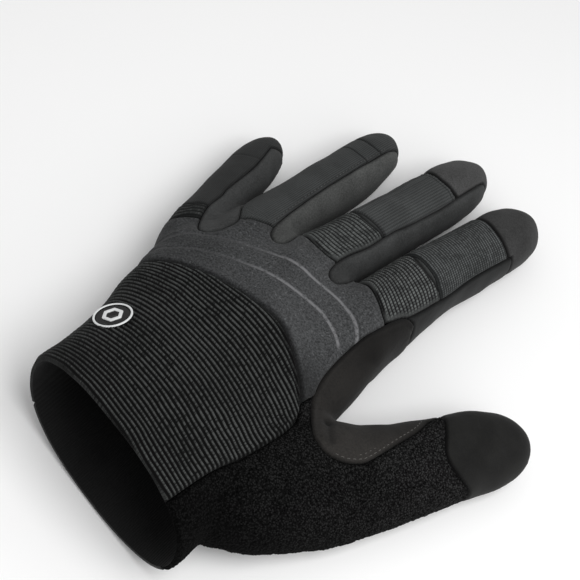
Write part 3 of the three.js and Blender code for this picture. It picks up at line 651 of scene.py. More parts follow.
def boundary(f):
    e = np.concatenate([f[:, [0, 1]], f[:, [1, 2]], f[:, [2, 0]]])
    n = int(e.max()) + 1
    key = e.min(1) * n + e.max(1)
    _, inv, count = np.unique(key, return_inverse=True, return_counts=True)
    return e[count[inv.ravel()] == 1]


def edge_dip(d, drop=0.85, reach=1.2):
    """Height of a panel whose edge turns down into its seam."""
    t = np.clip(1 - d / reach, 0, 1)
    return -drop * t ** 2.6


def cross_rows(rows, p, steps=5):
    """Where the point lies along a form: the middle's y of its cross-section, and its sideways distance from the middle."""
    r = dense(rows, 2.0)
    cy = p[:, 1].copy()
    for _ in range(steps):
        yaw = np.radians(np.interp(cy, r[:, 1], r[:, 2]))
        cx = np.interp(cy, r[:, 1], r[:, 0])
        cy = p[:, 1] + (p[:, 0] - cx) * np.tan(yaw)
    yaw = np.radians(np.interp(cy, r[:, 1], r[:, 2]))
    cx = np.interp(cy, r[:, 1], r[:, 0])
    side = (p[:, 0] - cx) * np.cos(yaw) - (p[:, 1] - cy) * np.sin(yaw)
    half = np.interp(cy, r[:, 1], r[:, 3])
    mid = (np.interp(cy, r[:, 1], r[:, 4]) + np.interp(cy, r[:, 1], r[:, 5])) / 2
    rise = (np.interp(cy, r[:, 1], r[:, 5]) - np.interp(cy, r[:, 1], r[:, 4])) / 2
    # distance round the section from its top
    c, s = side / half, (p[:, 2] - mid) / rise
    turn = np.arctan2(c, s)
    return cy, turn * (half + rise) / 2, side


made = {}


def build(name, v, f, h, materials, extra=None):
    """Makes the piece: its outer skin raised by h, walls at its edges and a lining."""
    outer = v[:, :3] + v[:, 3:6] * h[:, None]
    outer[:, 2] = np.maximum(outer[:, 2], 0.0)
    n0 = len(outer)
    b = boundary(f)
    ids, inv = np.unique(b, return_inverse=True)
    inv = inv.reshape(b.shape)
    low = v[ids, :3] - v[ids, 3:6] * WALL
    walls = np.concatenate([np.stack([b[:, 1], b[:, 0], inv[:, 0] + n0], 1), np.stack([b[:, 1], inv[:, 0] + n0, inv[:, 1] + n0], 1)])
    n1 = n0 + len(low)
    iv, jf = cut_out(name, -0.04)                      # the linings meet, so that no light passes the seams
    iv[:, K] = 1
    inner = iv[:, :3] - iv[:, 3:6] * WALL
    xyz = [outer, low, inner]
    faces = [f, walls, jf[:, ::-1] + n1]
    index = [np.zeros(len(f) + len(walls), int), np.ones(len(jf), int)]
    cols = [v[:, [S, T, D]], v[ids][:, [S, T, D]], iv[:, [S, T, D]]]
    marks = [v[:, [M, K]], v[ids][:, [M, K]], iv[:, [M, K]]]
    n = n1 + len(inner)
    for (ev, ef, em) in extra or []:
        xyz.append(ev)
        faces.append(ef + n)
        index.append(np.full(len(ef), em))
        cols.append(np.zeros((len(ev), 3)))
        marks.append(np.zeros((len(ev), 2)))
        n += len(ev)
    xyz, faces = np.concatenate(xyz), np.concatenate(faces)
    me = bpy.data.meshes.new(name + "_soft")
    me.vertices.add(len(xyz))
    me.vertices.foreach_set("co", ((xyz - ORIGIN) / 1000).astype(np.float32).ravel())
    me.loops.add(faces.size)
    me.loops.foreach_set("vertex_index", faces.astype(np.int32).ravel())
    me.polygons.add(len(faces))
    me.polygons.foreach_set("loop_start", np.arange(0, faces.size, 3, dtype=np.int32))
    me.polygons.foreach_set("material_index", np.concatenate(index).astype(np.int32))
    me.update(calc_edges=True)
    me.shade_smooth()
    a = me.attributes.new("lay", "FLOAT_VECTOR", "POINT")
    a.data.foreach_set("vector", np.concatenate(cols).astype(np.float32).ravel())
    # mark is a line mask; tone is a brightness factor that carries the shade painted onto each piece
    for i, label in enumerate(("mark", "tone")):
        a = me.attributes.new(label, "FLOAT", "POINT")
        a.data.foreach_set("value", np.concatenate(marks)[:, i].astype(np.float32))
    for m in materials:
        me.materials.append(m)
    me.validate()
    ob = bpy.data.objects.new(name + "_soft", me)
    bpy.context.scene.collection.objects.link(ob)
    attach(ob, "root")
    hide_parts(name)
    made[name] = (ob, len(faces))
    return ob


# ------------------------------------------------------------------ materials
class Mat:
    """A short way to write a node material."""

    def __init__(self, name, roughness=0.8, sheen=0.0, specular=0.3):
        self.m = bpy.data.materials.new(name)
        self.m.use_nodes = True
        self.t = self.m.node_tree
        self.b = self.t.nodes["Principled BSDF"]
        self.b.inputs["Roughness"].default_value = roughness
        self.b.inputs["Specular IOR Level"].default_value = specular * 0.8
        self.b.inputs["Sheen Weight"].default_value = sheen * 0.8
        self.b.inputs["Sheen Roughness"].default_value = 0.6
        self.object = self.node("ShaderNodeTexCoord").outputs["Object"]

    def node(self, kind, **props):
        n = self.t.nodes.new(kind)
        for k, v in props.items():
            setattr(n, k, v)
        return n

    def put(self, socket, value):
        if isinstance(value, bpy.types.NodeSocket):
            self.t.links.new(value, socket)
        else:
            socket.default_value = value

    def attr(self, name, out="Fac"):
        return self.node("ShaderNodeAttribute", attribute_name=name).outputs[out]

    def xyz(self, v):
        n = self.node("ShaderNodeSeparateXYZ")
        self.put(n.inputs[0], v)
        return n.outputs

    def math(self, op, a, b=0.0, c=0.0, clamp=False):
        n = self.node("ShaderNodeMath", operation=op, use_clamp=clamp)
        for s, x in zip(n.inputs, (a, b, c)):
            self.put(s, x)
        return n.outputs[0]

    def noise(self, scale, detail=2.0, rough=0.5, vector=None, distortion=0.0):
        n = self.node("ShaderNodeTexNoise")
        self.put(n.inputs["Vector"], vector if vector is not None else self.object)
        n.inputs["Scale"].default_value = scale
        n.inputs["Detail"].default_value = detail
        n.inputs["Roughness"].default_value = rough
        n.inputs["Distortion"].default_value = distortion
        return n.outputs["Fac"]

    def voronoi(self, scale, feature="F1", out="Distance", vector=None, randomness=1.0):
        n = self.node("ShaderNodeTexVoronoi", feature=feature)
        self.put(n.inputs["Vector"], vector if vector is not None else self.object)
        n.inputs["Scale"].default_value = scale
        n.inputs["Randomness"].default_value = randomness
        return n.outputs[out]

    def range(self, v, a, b, c, d, smooth=True):
        n = self.node("ShaderNodeMapRange", interpolation_type="SMOOTHSTEP" if smooth else "LINEAR")
        for s, x in zip(n.inputs, (v, a, b, c, d)):
            self.put(s, x)
        return n.outputs[0]

    def mix(self, fac, a, b):
        n = self.node("ShaderNodeMix", data_type="RGBA")
        self.put(n.inputs["Factor"], fac)
        self.put(n.inputs["A"] if "A" in n.inputs else n.inputs[6], a) if False else self.put(n.inputs[6], a)
        self.put(n.inputs[7], b)
        return n.outputs[2]

    def scale_colour(self, colour, by):
        n = self.node("ShaderNodeMix", data_type="RGBA", blend_type="MULTIPLY")
        n.inputs["Factor"].default_value = 1.0
        self.put(n.inputs[6], colour)
        self.put(n.inputs[7], by)
        return n.outputs[2]

    def ramp(self, fac, stops):
        n = self.node("ShaderNodeValToRGB")
        e = n.color_ramp.elements
        while len(e) < len(stops):
            e.new(0.5)
        for el, (pos, c) in zip(e, stops):
            el.position, el.color = pos, c
        self.put(n.inputs[0], fac)
        return n.outputs[0]

    def combine(self, x, y, z=0.0):
        n = self.node("ShaderNodeCombineXYZ")
        for s, v in zip(n.inputs, (x, y, z)):
            self.put(s, v)
        return n.outputs[0]

    def bump(self, height, distance, strength=1.0, normal=None):
        n = self.node("ShaderNodeBump")
        n.inputs["Strength"].default_value = strength
        n.inputs["Distance"].default_value = distance
        self.put(n.inputs["Height"], height)
        if normal is not None:
            self.put(n.inputs["Normal"], normal)
        return n.outputs[0]

    def finish(self, colour, roughness=None, normal=None):
        self.put(self.b.inputs["Base Color"], colour)
        if roughness is not None:
            self.put(self.b.inputs["Roughness"], roughness)
        if normal is not None:
            self.put(self.b.inputs["Normal"], normal)
        return self.m


def rgb(r, g=None, b=None, k=0.8):
    """Linear colour from sRGB 0 to 255."""
    g, b = (r if g is None else g), (r if b is None else b)
    lin = [((c / 255 + 0.055) / 1.055) ** 2.4 if c > 10.3 else c / 255 / 12.92 for c in (r, g, b)]
    return (*[c * k for c in lin], 1.0)


def microfibre(name, colour, grain=1.0, mottle=0.12, roughness=0.78):
    m = Mat(name, roughness, sheen=0.04, specular=0.18)
    big = m.noise(75, 3, 0.55)
    fine = m.noise(1500, 3, 0.6)
    pores = m.voronoi(1100)
    tone = m.math("ADD", m.range(big, 0.3, 0.7, 1 - mottle, 1 + mottle), m.range(fine, 0.3, 0.7, -0.34, 0.34))
    # painted shade: the colour darkens towards the panel's edge where it turns down into the seam, and takes the
    # painted shade in the tone attribute
    edge = m.range(m.xyz(m.attr("lay", "Vector"))[2], 0.0, 1.3, 0.62, 1.0)
    colour = m.scale_colour(colour, m.math("MULTIPLY", m.math("MULTIPLY", tone, edge), m.attr("tone")))
    height = m.math("ADD", m.math("MULTIPLY", fine, 0.6), m.math("MULTIPLY", pores, 0.5))
    n1 = m.bump(m.noise(260, 3, 0.5), 0.0004, 0.35)
    return m.finish(colour, m.range(fine, 0.2, 0.8, roughness - 0.08, roughness + 0.1), m.bump(height, 0.00012 * grain, 0.6, n1))


def foam_suede(name, colour, line):
    m = Mat(name, 0.95, sheen=0.06, specular=0.15)
    fine = m.noise(1300, 4, 0.7)
    dots = m.voronoi(1250)
    big = m.noise(45, 3, 0.5)
    fleck = m.range(m.noise(900, 2, 0.6), 0.60, 0.74, 0.0, 1.0)
    tone = m.math("ADD", m.range(big, 0.3, 0.7, 0.88, 1.12), m.range(fine, 0.25, 0.75, -0.75, 0.62))
    tone = m.math("ADD", tone, m.math("MULTIPLY", fleck, 1.1))
    # painted shade: the colour darkens towards the panel's edge at the seam, and takes the painted shade in the tone
    # attribute
    edge = m.range(m.xyz(m.attr("lay", "Vector"))[2], 0.0, 1.2, 0.55, 1.0)
    base = m.scale_colour(colour, m.math("MULTIPLY", tone, m.math("MULTIPLY", edge, m.attr("tone"))))
    broken = m.range(m.noise(700, 3, 0.7), 0.33, 0.50, 0.25, 1.0)
    base = m.mix(m.math("MULTIPLY", m.attr("mark"), broken), base, line)
    height = m.math("ADD", m.math("MULTIPLY", fine, 0.8), m.math("MULTIPLY", dots, 0.4))
    return m.finish(base, m.range(fine, 0.2, 0.8, 0.88, 1.0), m.bump(height, 0.00022, 0.75))


def ribbed(name, valley, ridge, pitch, sparkle=1.0):
    """Elastic with lighter ribs that stand up; s counts the ribs, t runs along them."""
    m = Mat(name, 0.9, sheen=0.02, specular=0.10)
    s, t, d = m.xyz(m.attr("lay", "Vector"))
    phase = m.math("ABSOLUTE", m.math("SUBTRACT", m.math("FRACT", m.math("ADD", s, 0.5)), 0.5))
    top = m.range(phase, 0.06, 0.30, 1.0, 0.0)
    along = m.combine(m.math("MULTIPLY", t, 1.0), m.math("MULTIPLY", m.math("ROUND", s), 7.3))
    bead = m.noise(1.5, 3, 0.75, vector=along)
    spark = m.range(m.noise(2.3, 2, 0.7, vector=along), 0.58, 0.72, 0.0, 1.0)
    worn = m.noise(60, 3, 0.6)
    lit = m.math("MULTIPLY", top, m.range(bead, 0.32, 0.62, 0.12, 1.45))
    lit = m.math("ADD", lit, m.math("MULTIPLY", m.math("MULTIPLY", top, spark), 1.7 * sparkle))
    lit = m.math("MULTIPLY", lit, m.range(worn, 0.3, 0.7, 0.75, 1.2))
    # painted shade: the ribs darken towards the panel's edge at the seam, and take the painted shade in the tone
    # attribute
    edge = m.range(d, 0.0, 1.6, 0.35, 1.0)
    lit = m.math("MULTIPLY", lit, m.math("MULTIPLY", edge, m.attr("tone")))
    base = m.mix(lit, valley, ridge)
    # the slanting stitches of the knit between the ribs
    slant = m.node("ShaderNodeTexWave", wave_type="BANDS", bands_direction="X", wave_profile="SIN")
    m.put(slant.inputs["Vector"], m.combine(m.math("ADD", t, m.math("MULTIPLY", s, 0.9)), 0.0))
    slant.inputs["Scale"].default_value = 0.42
    slant.inputs["Distortion"].default_value = 0.0
    height = m.math("ADD", m.math("MULTIPLY", slant.outputs["Fac"], 0.35), m.math("MULTIPLY", m.noise(1800, 2, 0.6), 0.5))
    return m.finish(base, m.range(bead, 0.2, 0.8, 0.78, 0.95), m.bump(height, 0.00016, 0.8))


def gridded(name, dark, light, across=1.15, depth=1.0, groove=0.62):
    """Finger elastic: ribs counted by s, crossed by fine lengthwise lines every few tenths of t."""
    m = Mat(name, 0.86, sheen=0.03, specular=0.15)
    s, t, d = m.xyz(m.attr("lay", "Vector"))
    phase = m.math("ABSOLUTE", m.math("SUBTRACT", m.math("FRACT", m.math("ADD", s, 0.5)), 0.5))
    rib = m.range(phase, 0.16, 0.44, 1.0, 0.0)
    lane_at = m.math("MULTIPLY", t, 1 / across)
    lane = m.math("ABSOLUTE", m.math("SUBTRACT", m.math("FRACT", lane_at), 0.5))
    col = m.range(lane, 0.20, 0.46, 1.0, 1 - groove)
    worn = m.noise(90, 3, 0.6)
    fleck = m.noise(1500, 3, 0.7)
    own = m.node("ShaderNodeTexWhiteNoise", noise_dimensions="2D")
    m.put(own.inputs["Vector"], m.combine(m.math("ROUND", s), m.math("FLOOR", lane_at)))
    lit = m.math("MULTIPLY", rib, col)
    lit = m.math("MULTIPLY", lit, m.range(own.outputs["Value"], 0.0, 1.0, 0.55, 1.45, smooth=False))
    lit = m.math("MULTIPLY", lit, m.range(fleck, 0.25, 0.75, 0.6, 1.3))
    lit = m.math("MULTIPLY", lit, m.range(worn, 0.3, 0.7, 0.75, 1.2))
    flat = m.attr("mark")
    plain_ = m.math("MULTIPLY", m.range(fleck, 0.25, 0.75, 0.36, 0.60), m.range(worn, 0.3, 0.7, 0.85, 1.1))
    lit = m.math("ADD", m.math("MULTIPLY", lit, m.math("SUBTRACT", 1.0, flat)), m.math("MULTIPLY", plain_, flat))
    # painted shade: the grid darkens almost to black towards the panel's edge at the seam, and takes the painted shade
    # in the tone attribute
    lit = m.math("MULTIPLY", lit, m.math("MULTIPLY", m.range(d, 0.0, 1.1, 0.12, 1.0), m.attr("tone")))
    base = m.mix(lit, dark, light)
    height = m.math("ADD", m.math("MULTIPLY", m.math("MULTIPLY", rib, col), 0.8), m.math("MULTIPLY", fleck, 0.35))
    return m.finish(base, m.range(fleck, 0.2, 0.8, 0.76, 0.95), m.bump(height, 0.00028 * depth, 0.9))


def knitted(name, colour, stitch=0.9, contrast=0.3):
    """A fine knit with lengthwise columns of small loops."""
    m = Mat(name, 0.85, sheen=0.04, specular=0.18)
    s, t, d = m.xyz(m.attr("lay", "Vector"))
    lane = m.math("ABSOLUTE", m.math("SUBTRACT", m.math("FRACT", m.math("MULTIPLY", t, 1 / stitch)), 0.5))
    lean = m.math("ADD", m.math("MULTIPLY", s, 1 / (stitch * 0.8)), m.math("MULTIPLY", lane, 1.4))
    loop = m.math("ABSOLUTE", m.math("SUBTRACT", m.math("FRACT", lean), 0.5))
    pile = m.math("MULTIPLY", m.range(lane, 0.1, 0.45, 1.0, 0.35), m.range(loop, 0.05, 0.5, 1.0, 0.45))
    fleck = m.noise(1300, 3, 0.7)
    worn = m.noise(80, 3, 0.6)
    tone = m.math("ADD", m.range(pile, 0.2, 1.0, 1 - contrast, 1 + contrast), m.range(fleck, 0.25, 0.75, -0.16, 0.16))
    tone = m.math("MULTIPLY", tone, m.range(worn, 0.3, 0.7, 0.86, 1.12))
    # painted shade: the knit darkens towards the panel's edge at the seam, and takes the painted shade in the tone
    # attribute
    tone = m.math("MULTIPLY", tone, m.math("MULTIPLY", m.range(d, 0.0, 1.2, 0.55, 1.0), m.attr("tone")))
    height = m.math("ADD", m.math("MULTIPLY", pile, 0.7), m.math("MULTIPLY", fleck, 0.4))
    return m.finish(m.scale_colour(colour, tone), m.range(fleck, 0.2, 0.8, 0.78, 0.95), m.bump(height, 0.0002, 0.8))


def terry(name, colour):
    m = Mat(name, 1.0, sheen=0.0, specular=0.04)
    loops = m.voronoi(1200)
    small = m.noise(1700, 3, 0.75)
    big = m.noise(60, 3, 0.55)
    tone = m.math("ADD", m.range(loops, 0.1, 0.6, 2.0, 0.36), m.range(small, 0.3, 0.7, -0.46, 0.48))
    tone = m.math("MULTIPLY", tone, m.range(big, 0.3, 0.7, 0.8, 1.2))
    # painted shade: the terry takes the painted shade in the tone attribute, and darkens towards the panel's edge at
    # the seam
    tone = m.math("MULTIPLY", tone, m.attr("tone"))
    edge = m.range(m.xyz(m.attr("lay", "Vector"))[2], 0.0, 1.5, 0.5, 1.0)
    height = m.math("SUBTRACT", m.math("MULTIPLY", small, 0.6), m.math("MULTIPLY", loops, 1.0))
    return m.finish(m.scale_colour(colour, m.math("MULTIPLY", tone, edge)), m.range(small, 0.2, 0.8, 0.9, 1.0), m.bump(height, 0.0005, 0.9))


def jersey(name, colour):
    m = Mat(name, 0.9, sheen=0.04, specular=0.12)
    fine = m.noise(1400, 3, 0.6)
    big = m.noise(50, 2, 0.5)
    weave = m.node("ShaderNodeTexWave", wave_type="BANDS", bands_direction="X", wave_profile="SIN")
    m.put(weave.inputs["Vector"], m.object)
    weave.inputs["Scale"].default_value = 330
    weave.inputs["Distortion"].default_value = 0.6
    tone = m.math("ADD", m.range(fine, 0.3, 0.7, 0.8, 1.2), m.math("MULTIPLY", weave.outputs["Fac"], 0.3))
    tone = m.math("MULTIPLY", tone, m.range(big, 0.3, 0.7, 0.85, 1.1))
    return m.finish(m.scale_colour(colour, tone), m.range(fine, 0.2, 0.8, 0.85, 0.98), m.bump(m.math("ADD", fine, weave.outputs["Fac"]), 0.0002, 0.6))


def thread(name, colour):
    m = Mat(name, 0.6, sheen=0.2, specular=0.4)
    twist = m.node("ShaderNodeTexWave", wave_type="BANDS", bands_direction="DIAGONAL", wave_profile="SIN")
    m.put(twist.inputs["Vector"], m.object)
    twist.inputs["Scale"].default_value = 900
    fine = m.noise(2500, 2, 0.6)
    tone = m.math("ADD", m.range(fine, 0.3, 0.7, 0.8, 1.1), m.math("MULTIPLY", twist.outputs["Fac"], 0.2))
    return m.finish(m.scale_colour(colour, tone), m.range(fine, 0.2, 0.8, 0.5, 0.7), m.bump(twist.outputs["Fac"], 0.0001, 0.5))


def moulded(name, colour, roughness):
    m = Mat(name, roughness, specular=0.5)
    fine = m.noise(1800, 2, 0.5)
    big = m.noise(180, 2, 0.5)
    tone = m.math("ADD", m.range(fine, 0.3, 0.7, 0.95, 1.03), m.range(big, 0.3, 0.7, -0.03, 0.03))
    return m.finish(m.scale_colour(colour, tone), m.range(fine, 0.2, 0.8, roughness - 0.06, roughness + 0.1), m.bump(fine, 0.00005, 0.4))


lining = jersey("lining", rgb(30))
M_palm = microfibre("palm_microfibre", rgb(31, 32, 32))
M_caps = microfibre("cap_microfibre", rgb(54, 54, 54), 0.8, 0.22)
# painted light: the middle cap is the same microfibre as the other caps, painted lighter for the light on its upturned
# face
M_midcap_lit = microfibre("middle_cap_microfibre_lit", rgb(70, 70, 70), 0.8, 0.12)
M_thumb_cap = microfibre("thumb_cap_microfibre", rgb(24, 24, 23), 0.8, 0.28)
M_saddle = microfibre("saddle_microfibre", rgb(42, 40, 38), 1.0, 0.16)
M_side = microfibre("side_microfibre", rgb(70, 71, 70), 0.9, 0.14)
M_side_dark = microfibre("side_microfibre_dark", rgb(60, 61, 61), 0.9, 0.14)
M_knuckle = foam_suede("foam_suede", rgb(66, 67, 68), rgb(124, 124, 126))
M_back = ribbed("ribbed_elastic", rgb(3), rgb(78, 80, 79), 2.0)
M_grid = gridded("finger_grid", rgb(13, 14, 14), rgb(108, 111, 110), across=1.15, groove=0.75)
M_gridfine = gridded("finger_grid_fine", rgb(34, 36, 36), rgb(99, 102, 102), across=0.85, depth=0.8, groove=0.75)
M_gridmid = gridded("finger_grid_mid", rgb(18, 19, 19), rgb(98, 101, 100), across=1.05, groove=0.5)
M_midback = knitted("middle_knit", rgb(67, 69, 69), 1.3, 0.32)
M_ring = knitted("ring_knit", rgb(61, 63, 63), 0.9, 0.38)
M_little = knitted("little_knit", rgb(46, 47, 47), 0.8, 0.24)
M_terry = terry("terry", rgb(23, 23, 23))
M_stitch = thread("stitch_thread", rgb(76, 74, 70))
M_dark_stitch = thread("dark_thread", rgb(24))
M_rubber = moulded("badge_rubber", rgb(16), 0.5)
M_white = moulded("badge_white", rgb(226, 228, 228, k=1.0), 0.35)


# ------------------------------------------------------------------ stitches
tree = BVHTree.FromPolygons([Vector(p) for p in base_v], base_f.tolist())


def on_skin(xy):
    """Points of the skin under x, y, with their normals."""
    out, nn = [], []
    for x, y in xy:
        hit = tree.ray_cast(Vector((x, y, 120)), Vector((0, 0, -1)))
        if hit[0] is None:
            out.append([x, y, np.nan])
            nn.append([0, 0, 1])
        else:
            out.append(list(hit[0]))
            nn.append(list(hit[1]))
    return np.array(out), np.array(nn)


def bar(a, b, up, wide, high):
    """A stitch from a to b: a thread that comes up, lies on the cloth and goes down."""
    side = np.cross(b - a, up)
    side /= np.linalg.norm(side)
    rings_, sides = [], 6
    for t, k in ((0.0, -0.55), (0.12, 0.05), (0.35, 0.34), (0.65, 0.34), (0.88, 0.05), (1.0, -0.55)):
        c = a + (b - a) * t + up * (k * high * 2)
        th = np.arange(sides) / sides * 2 * np.pi
        w = 0.7 if t in (0.0, 1.0) else 1.0
        rings_.append(c + np.cos(th)[:, None] * side * wide / 2 * w + np.sin(th)[:, None] * up * wide / 2 * w)
    v = np.concatenate(rings_)
    f = []
    for i in range(len(rings_) - 1):
        for k in range(sides):
            p, q = i * sides + k, i * sides + (k + 1) % sides
            f += [(p, q, q + sides), (p, q + sides, p + sides)]
    last = (len(rings_) - 1) * sides
    for k in range(1, sides - 1):
        f += [(0, k + 1, k), (last, last + k, last + k + 1)]
    return v, np.array(f)


def stitched(line, offset, long=1.5, gap=0.75, wide=0.42, material=2, lift=0.0, start=0.0, end=None, height=None):
    """A row of stitches along a line of the plan, offset to its left."""
    p = np.array(line, float)
    d = np.gradient(p, axis=0)
    d /= np.linalg.norm(d, axis=1)[:, None]
    p = p + np.stack([-d[:, 1], d[:, 0]], 1) * offset
    q, nn = on_skin(p)
    ok = ~np.isnan(q[:, 2])
    q, nn = q[ok], nn[ok]
    run = np.r_[0, np.cumsum(np.linalg.norm(np.diff(q, axis=0), axis=1))]
    end = run[-1] if end is None else min(end, run[-1])
    vs, fs, n, at = [], [], 0, start
    while at + long < end:
        a = np.array([np.interp(at, run, q[:, i]) for i in range(3)])
        b = np.array([np.interp(at + long, run, q[:, i]) for i in range(3)])
        mid = (a + b) / 2
        up = np.array([np.interp(at + long / 2, run, nn[:, i]) for i in range(3)])
        up /= np.linalg.norm(up)
        hits, hn = on_skin([mid[:2]])
        if not np.isnan(hits[0, 2]):
            shift = hits[0] - mid
            a, b = a + shift, b + shift
        a, b = a + up * lift, b + up * lift
        v, f = bar(a, b, up, wide, wide)
        vs.append(v)
        fs.append(f + n)
        n += len(v)
        at += long + gap
    return [(np.concatenate(vs), np.concatenate(fs), material)] if vs else []


def ready(name):
    """The piece's skin, at full tone."""
    v, f = cut_out(name)
    v[:, K] = 1.0
    return v, f


def edge_cuts(v, f, levels=(0.3, 0.7, 1.2)):
    for lv in levels:
        v, f = split(v, f, D, lv, 0.05)
    return v, f


def ribs(v, f, marks):
    lo, hi = v[:, S].min(), v[:, S].max()
    for k in range(int(math.floor(lo)), int(math.ceil(hi)) + 1):
        for m in marks:
            if lo < k + m < hi:
                v, f = split(v, f, S, k + m, 0.02)
    return v, f


def ridge(s, sharp=0.30):
    w = np.abs((s + 0.5) % 1 - 0.5)
    return np.clip(1 - w / sharp, 0, 1) ** 1.0 if sharp < 0.5 else 0.5 + 0.5 * np.cos(2 * np.pi * s)


# ------------------------------------------------------------------ back panel
v, f = ready("back_panel")
cy, round_, side = cross_rows(HAND, v[:, :3])
wander = 0.10 * noise(v[:, :3], 30, 11) + 0.05 * noise(v[:, :3], 12, 12)
wander += 0.08 * noise(v[:, :3], 5, 13)
# the elastic is stretched more towards the knuckles, and its ribs bow back at the sides
rib_y = np.arange(-10, 160, 0.5)
rib_n = np.cumsum(0.5 / np.interp(rib_y, (20, 30, 38, 46, 54, 62, 70, 86, 94, 104), (1.85, 1.9, 2.0, 2.1, 2.2, 2.3, 2.4, 2.4, 2.33, 2.3)))
_hand = dense(HAND, 2.0)
u_ = side / np.interp(cy, _hand[:, 1], _hand[:, 3])
arch = np.interp(cy, (24, 40, 54, 70, 90, 100), (0, 2, 4.6, 8, 12, 13)) * np.where(u_ > 0, u_ ** 2, -0.6 * np.minimum(np.abs(u_), 0.5) ** 2)
arch += pchip(np.array([-1.3, -0.3, -0.15, 0, 0.15, 0.3, 0.45, 0.6, 0.75, 0.9, 1.3]), np.array([[-0.36], [-0.35], [-0.3], [0], [0.57], [1.26], [1.77], [1.86], [0.99], [-0.5], [-4.0]]), np.clip(u_, -1.2, 1.2))[:, 0]
v[:, S] = np.interp(cy + arch, rib_y, rib_n) + wander
v[:, T] = round_
top_d, _ = line_of(ribTop)(v[:, :3])
v[:, M] = np.abs(top_d)
v, f = edge_cuts(v, f)
v, f = ribs(v, f, (0.0, 0.2, 0.5, 0.8))
w = np.abs((v[:, S] + 0.5) % 1 - 0.5)
cy_ = cross_rows(HAND, v[:, :3])[0]
fade = step(0.0, 1.6, v[:, D])
cuff_near = step(26, 4, (v[:, :2] - cuff_at) @ cuff_dir)
h = 0.62 * (1 - step(0.0, 0.30, w)) * fade - 0.22 + edge_dip(v[:, D], 0.6, 1.4) * (1 - 0.7 * cuff_near)
wide_ = 2.3 + 1.9 * step(-12, 22, v[:, 0])
margin = step(0, 1, (wide_ - v[:, M]) / 2.2)             # the cloth dives under the edge of the knuckle panel
h += -0.9 * margin
h += cuff_near * 0.35 * noise(v[:, :3], 9, 21)
# painted shadow: the margin under the knuckle panel's edge is darkened; the ribs are also darker towards the cuff and
# towards the little-finger side
v[:, K] = (1 - 0.68 * margin) * (1 - 0.22 * step(70, 30, cy_)) * (1 - 0.15 * step(-10, -36, v[:, 0]))
v[:, M] = 0
build("back_panel", v, f, h, [M_back, lining])

# ------------------------------------------------------------------ knuckle panel
lineA = smooth(P(-60, 106, -52, 111.5, -43, 118.2, -36.5, 122.3, -27.8, 126.5, -17.8, 130.9, -8, 133.9, 0, 135, 8, 135.5, 15, 135.6, 21, 135.3, 26, 134, 30.4, 131.9, 34, 129, 37, 125.6, 40, 121))
lineB = smooth(P(-60, 100, -50, 105.3, -40.3, 110.2, -31.8, 113.9, -21.6, 117.9, -12.2, 121.1, -6.4, 122.9, 1.4, 124, 11, 124.4, 19.6, 124.3, 26.6, 122.4, 32, 119.6, 36, 115.4, 40, 110))
v, f = ready("knuckle_panel")
v[:, S], v[:, T] = v[:, 1], v[:, 0]
da, _ = line_of(lineA)(v[:, :3])
db, _ = line_of(lineB)(v[:, :3])
v[:, M] = np.clip(da, -4, 4)
v[:, K] = np.clip(db, -4, 4)
v, f = edge_cuts(v, f)
for lv in (-1.4, -0.9, -0.5, -0.2, 0.2, 0.5, 0.9, 1.4):
    v, f = split(v, f, M, lv)
    v, f = split(v, f, K, lv)
base_d = np.full(len(v), 30.0)                            # to the seams at the roots of the fingers
for line in (littleBase, ringBase, midBase, idxBase):
    base_d = np.minimum(base_d, np.abs(line_of(line)(v[:, :3])[0]))
root = 1 - step(0.2, 1.5, np.maximum(base_d, v[:, D]))
h = edge_dip(v[:, D], 0.9, 1.5) + 0.35 - 0.6 * root
mark = np.zeros(len(v))
for col, end_ in ((M, 37.5), (K, 32.5)):
    a = np.abs(v[:, col])
    bright = step(-28, 2, v[:, 0])
    live = step(end_ + 1.5, end_ - 1, v[:, 0])
    h += (-0.42 * (1 - step(0.2, 1.4, a)) + (0.30 * (1 - step(0.2, 0.55, a))) * bright) * live
    mark = np.maximum(mark, (1 - step(0.35, 0.85, a)) * (0.12 + 0.88 * step(-24, 4, v[:, 0])) * live)
h += 0.12 * noise(v[:, :3], 4, 31) * step(0, 2, v[:, D])
left = step(-18, -40, v[:, 0])
h += left * 0.6 * noise(v[:, :3] * np.array([0.6, 1.6, 0.6]), 9, 33) * step(0, 3, v[:, D])
h += step(-6, -34, v[:, 0]) * 0.22 * noise(v[:, :3] * np.array([0.8, 2.0, 0.8]), 5, 35) * step(0, 3, v[:, D])
x_, y_ = v[:, 0], v[:, 1]
# painted shading across the panel: darker towards the little finger and low on the index side, lighter towards the
# thumb; the dip at the roots of the fingers is painted darker too
shade = np.interp(x_, (-48, -30, -12, 20, 34), (0.74, 0.86, 1.02, 1.12, 1.15)) * (1 - 0.60 * step(118, 94, y_) * step(18, 32, x_))
v[:, M], v[:, K] = mark, (1 - 0.8 * root) * shade
knuckles = build("knuckle_panel", v, f, h, [M_knuckle, lining])


# ------------------------------------------------------------------ fingers
def between(lower, upper, p, count):
    """Counts ribs from one seam line to the next, from 0 to count."""
    lo = np.interp(p[:, 0], lower[:, 0], lower[:, 1])
    hi = np.interp(p[:, 0], upper[:, 0], upper[:, 1])
    return (p[:, 1] - lo) / (hi - lo) * count


def sorted_line(line):
    return line[np.argsort(line[:, 0])]


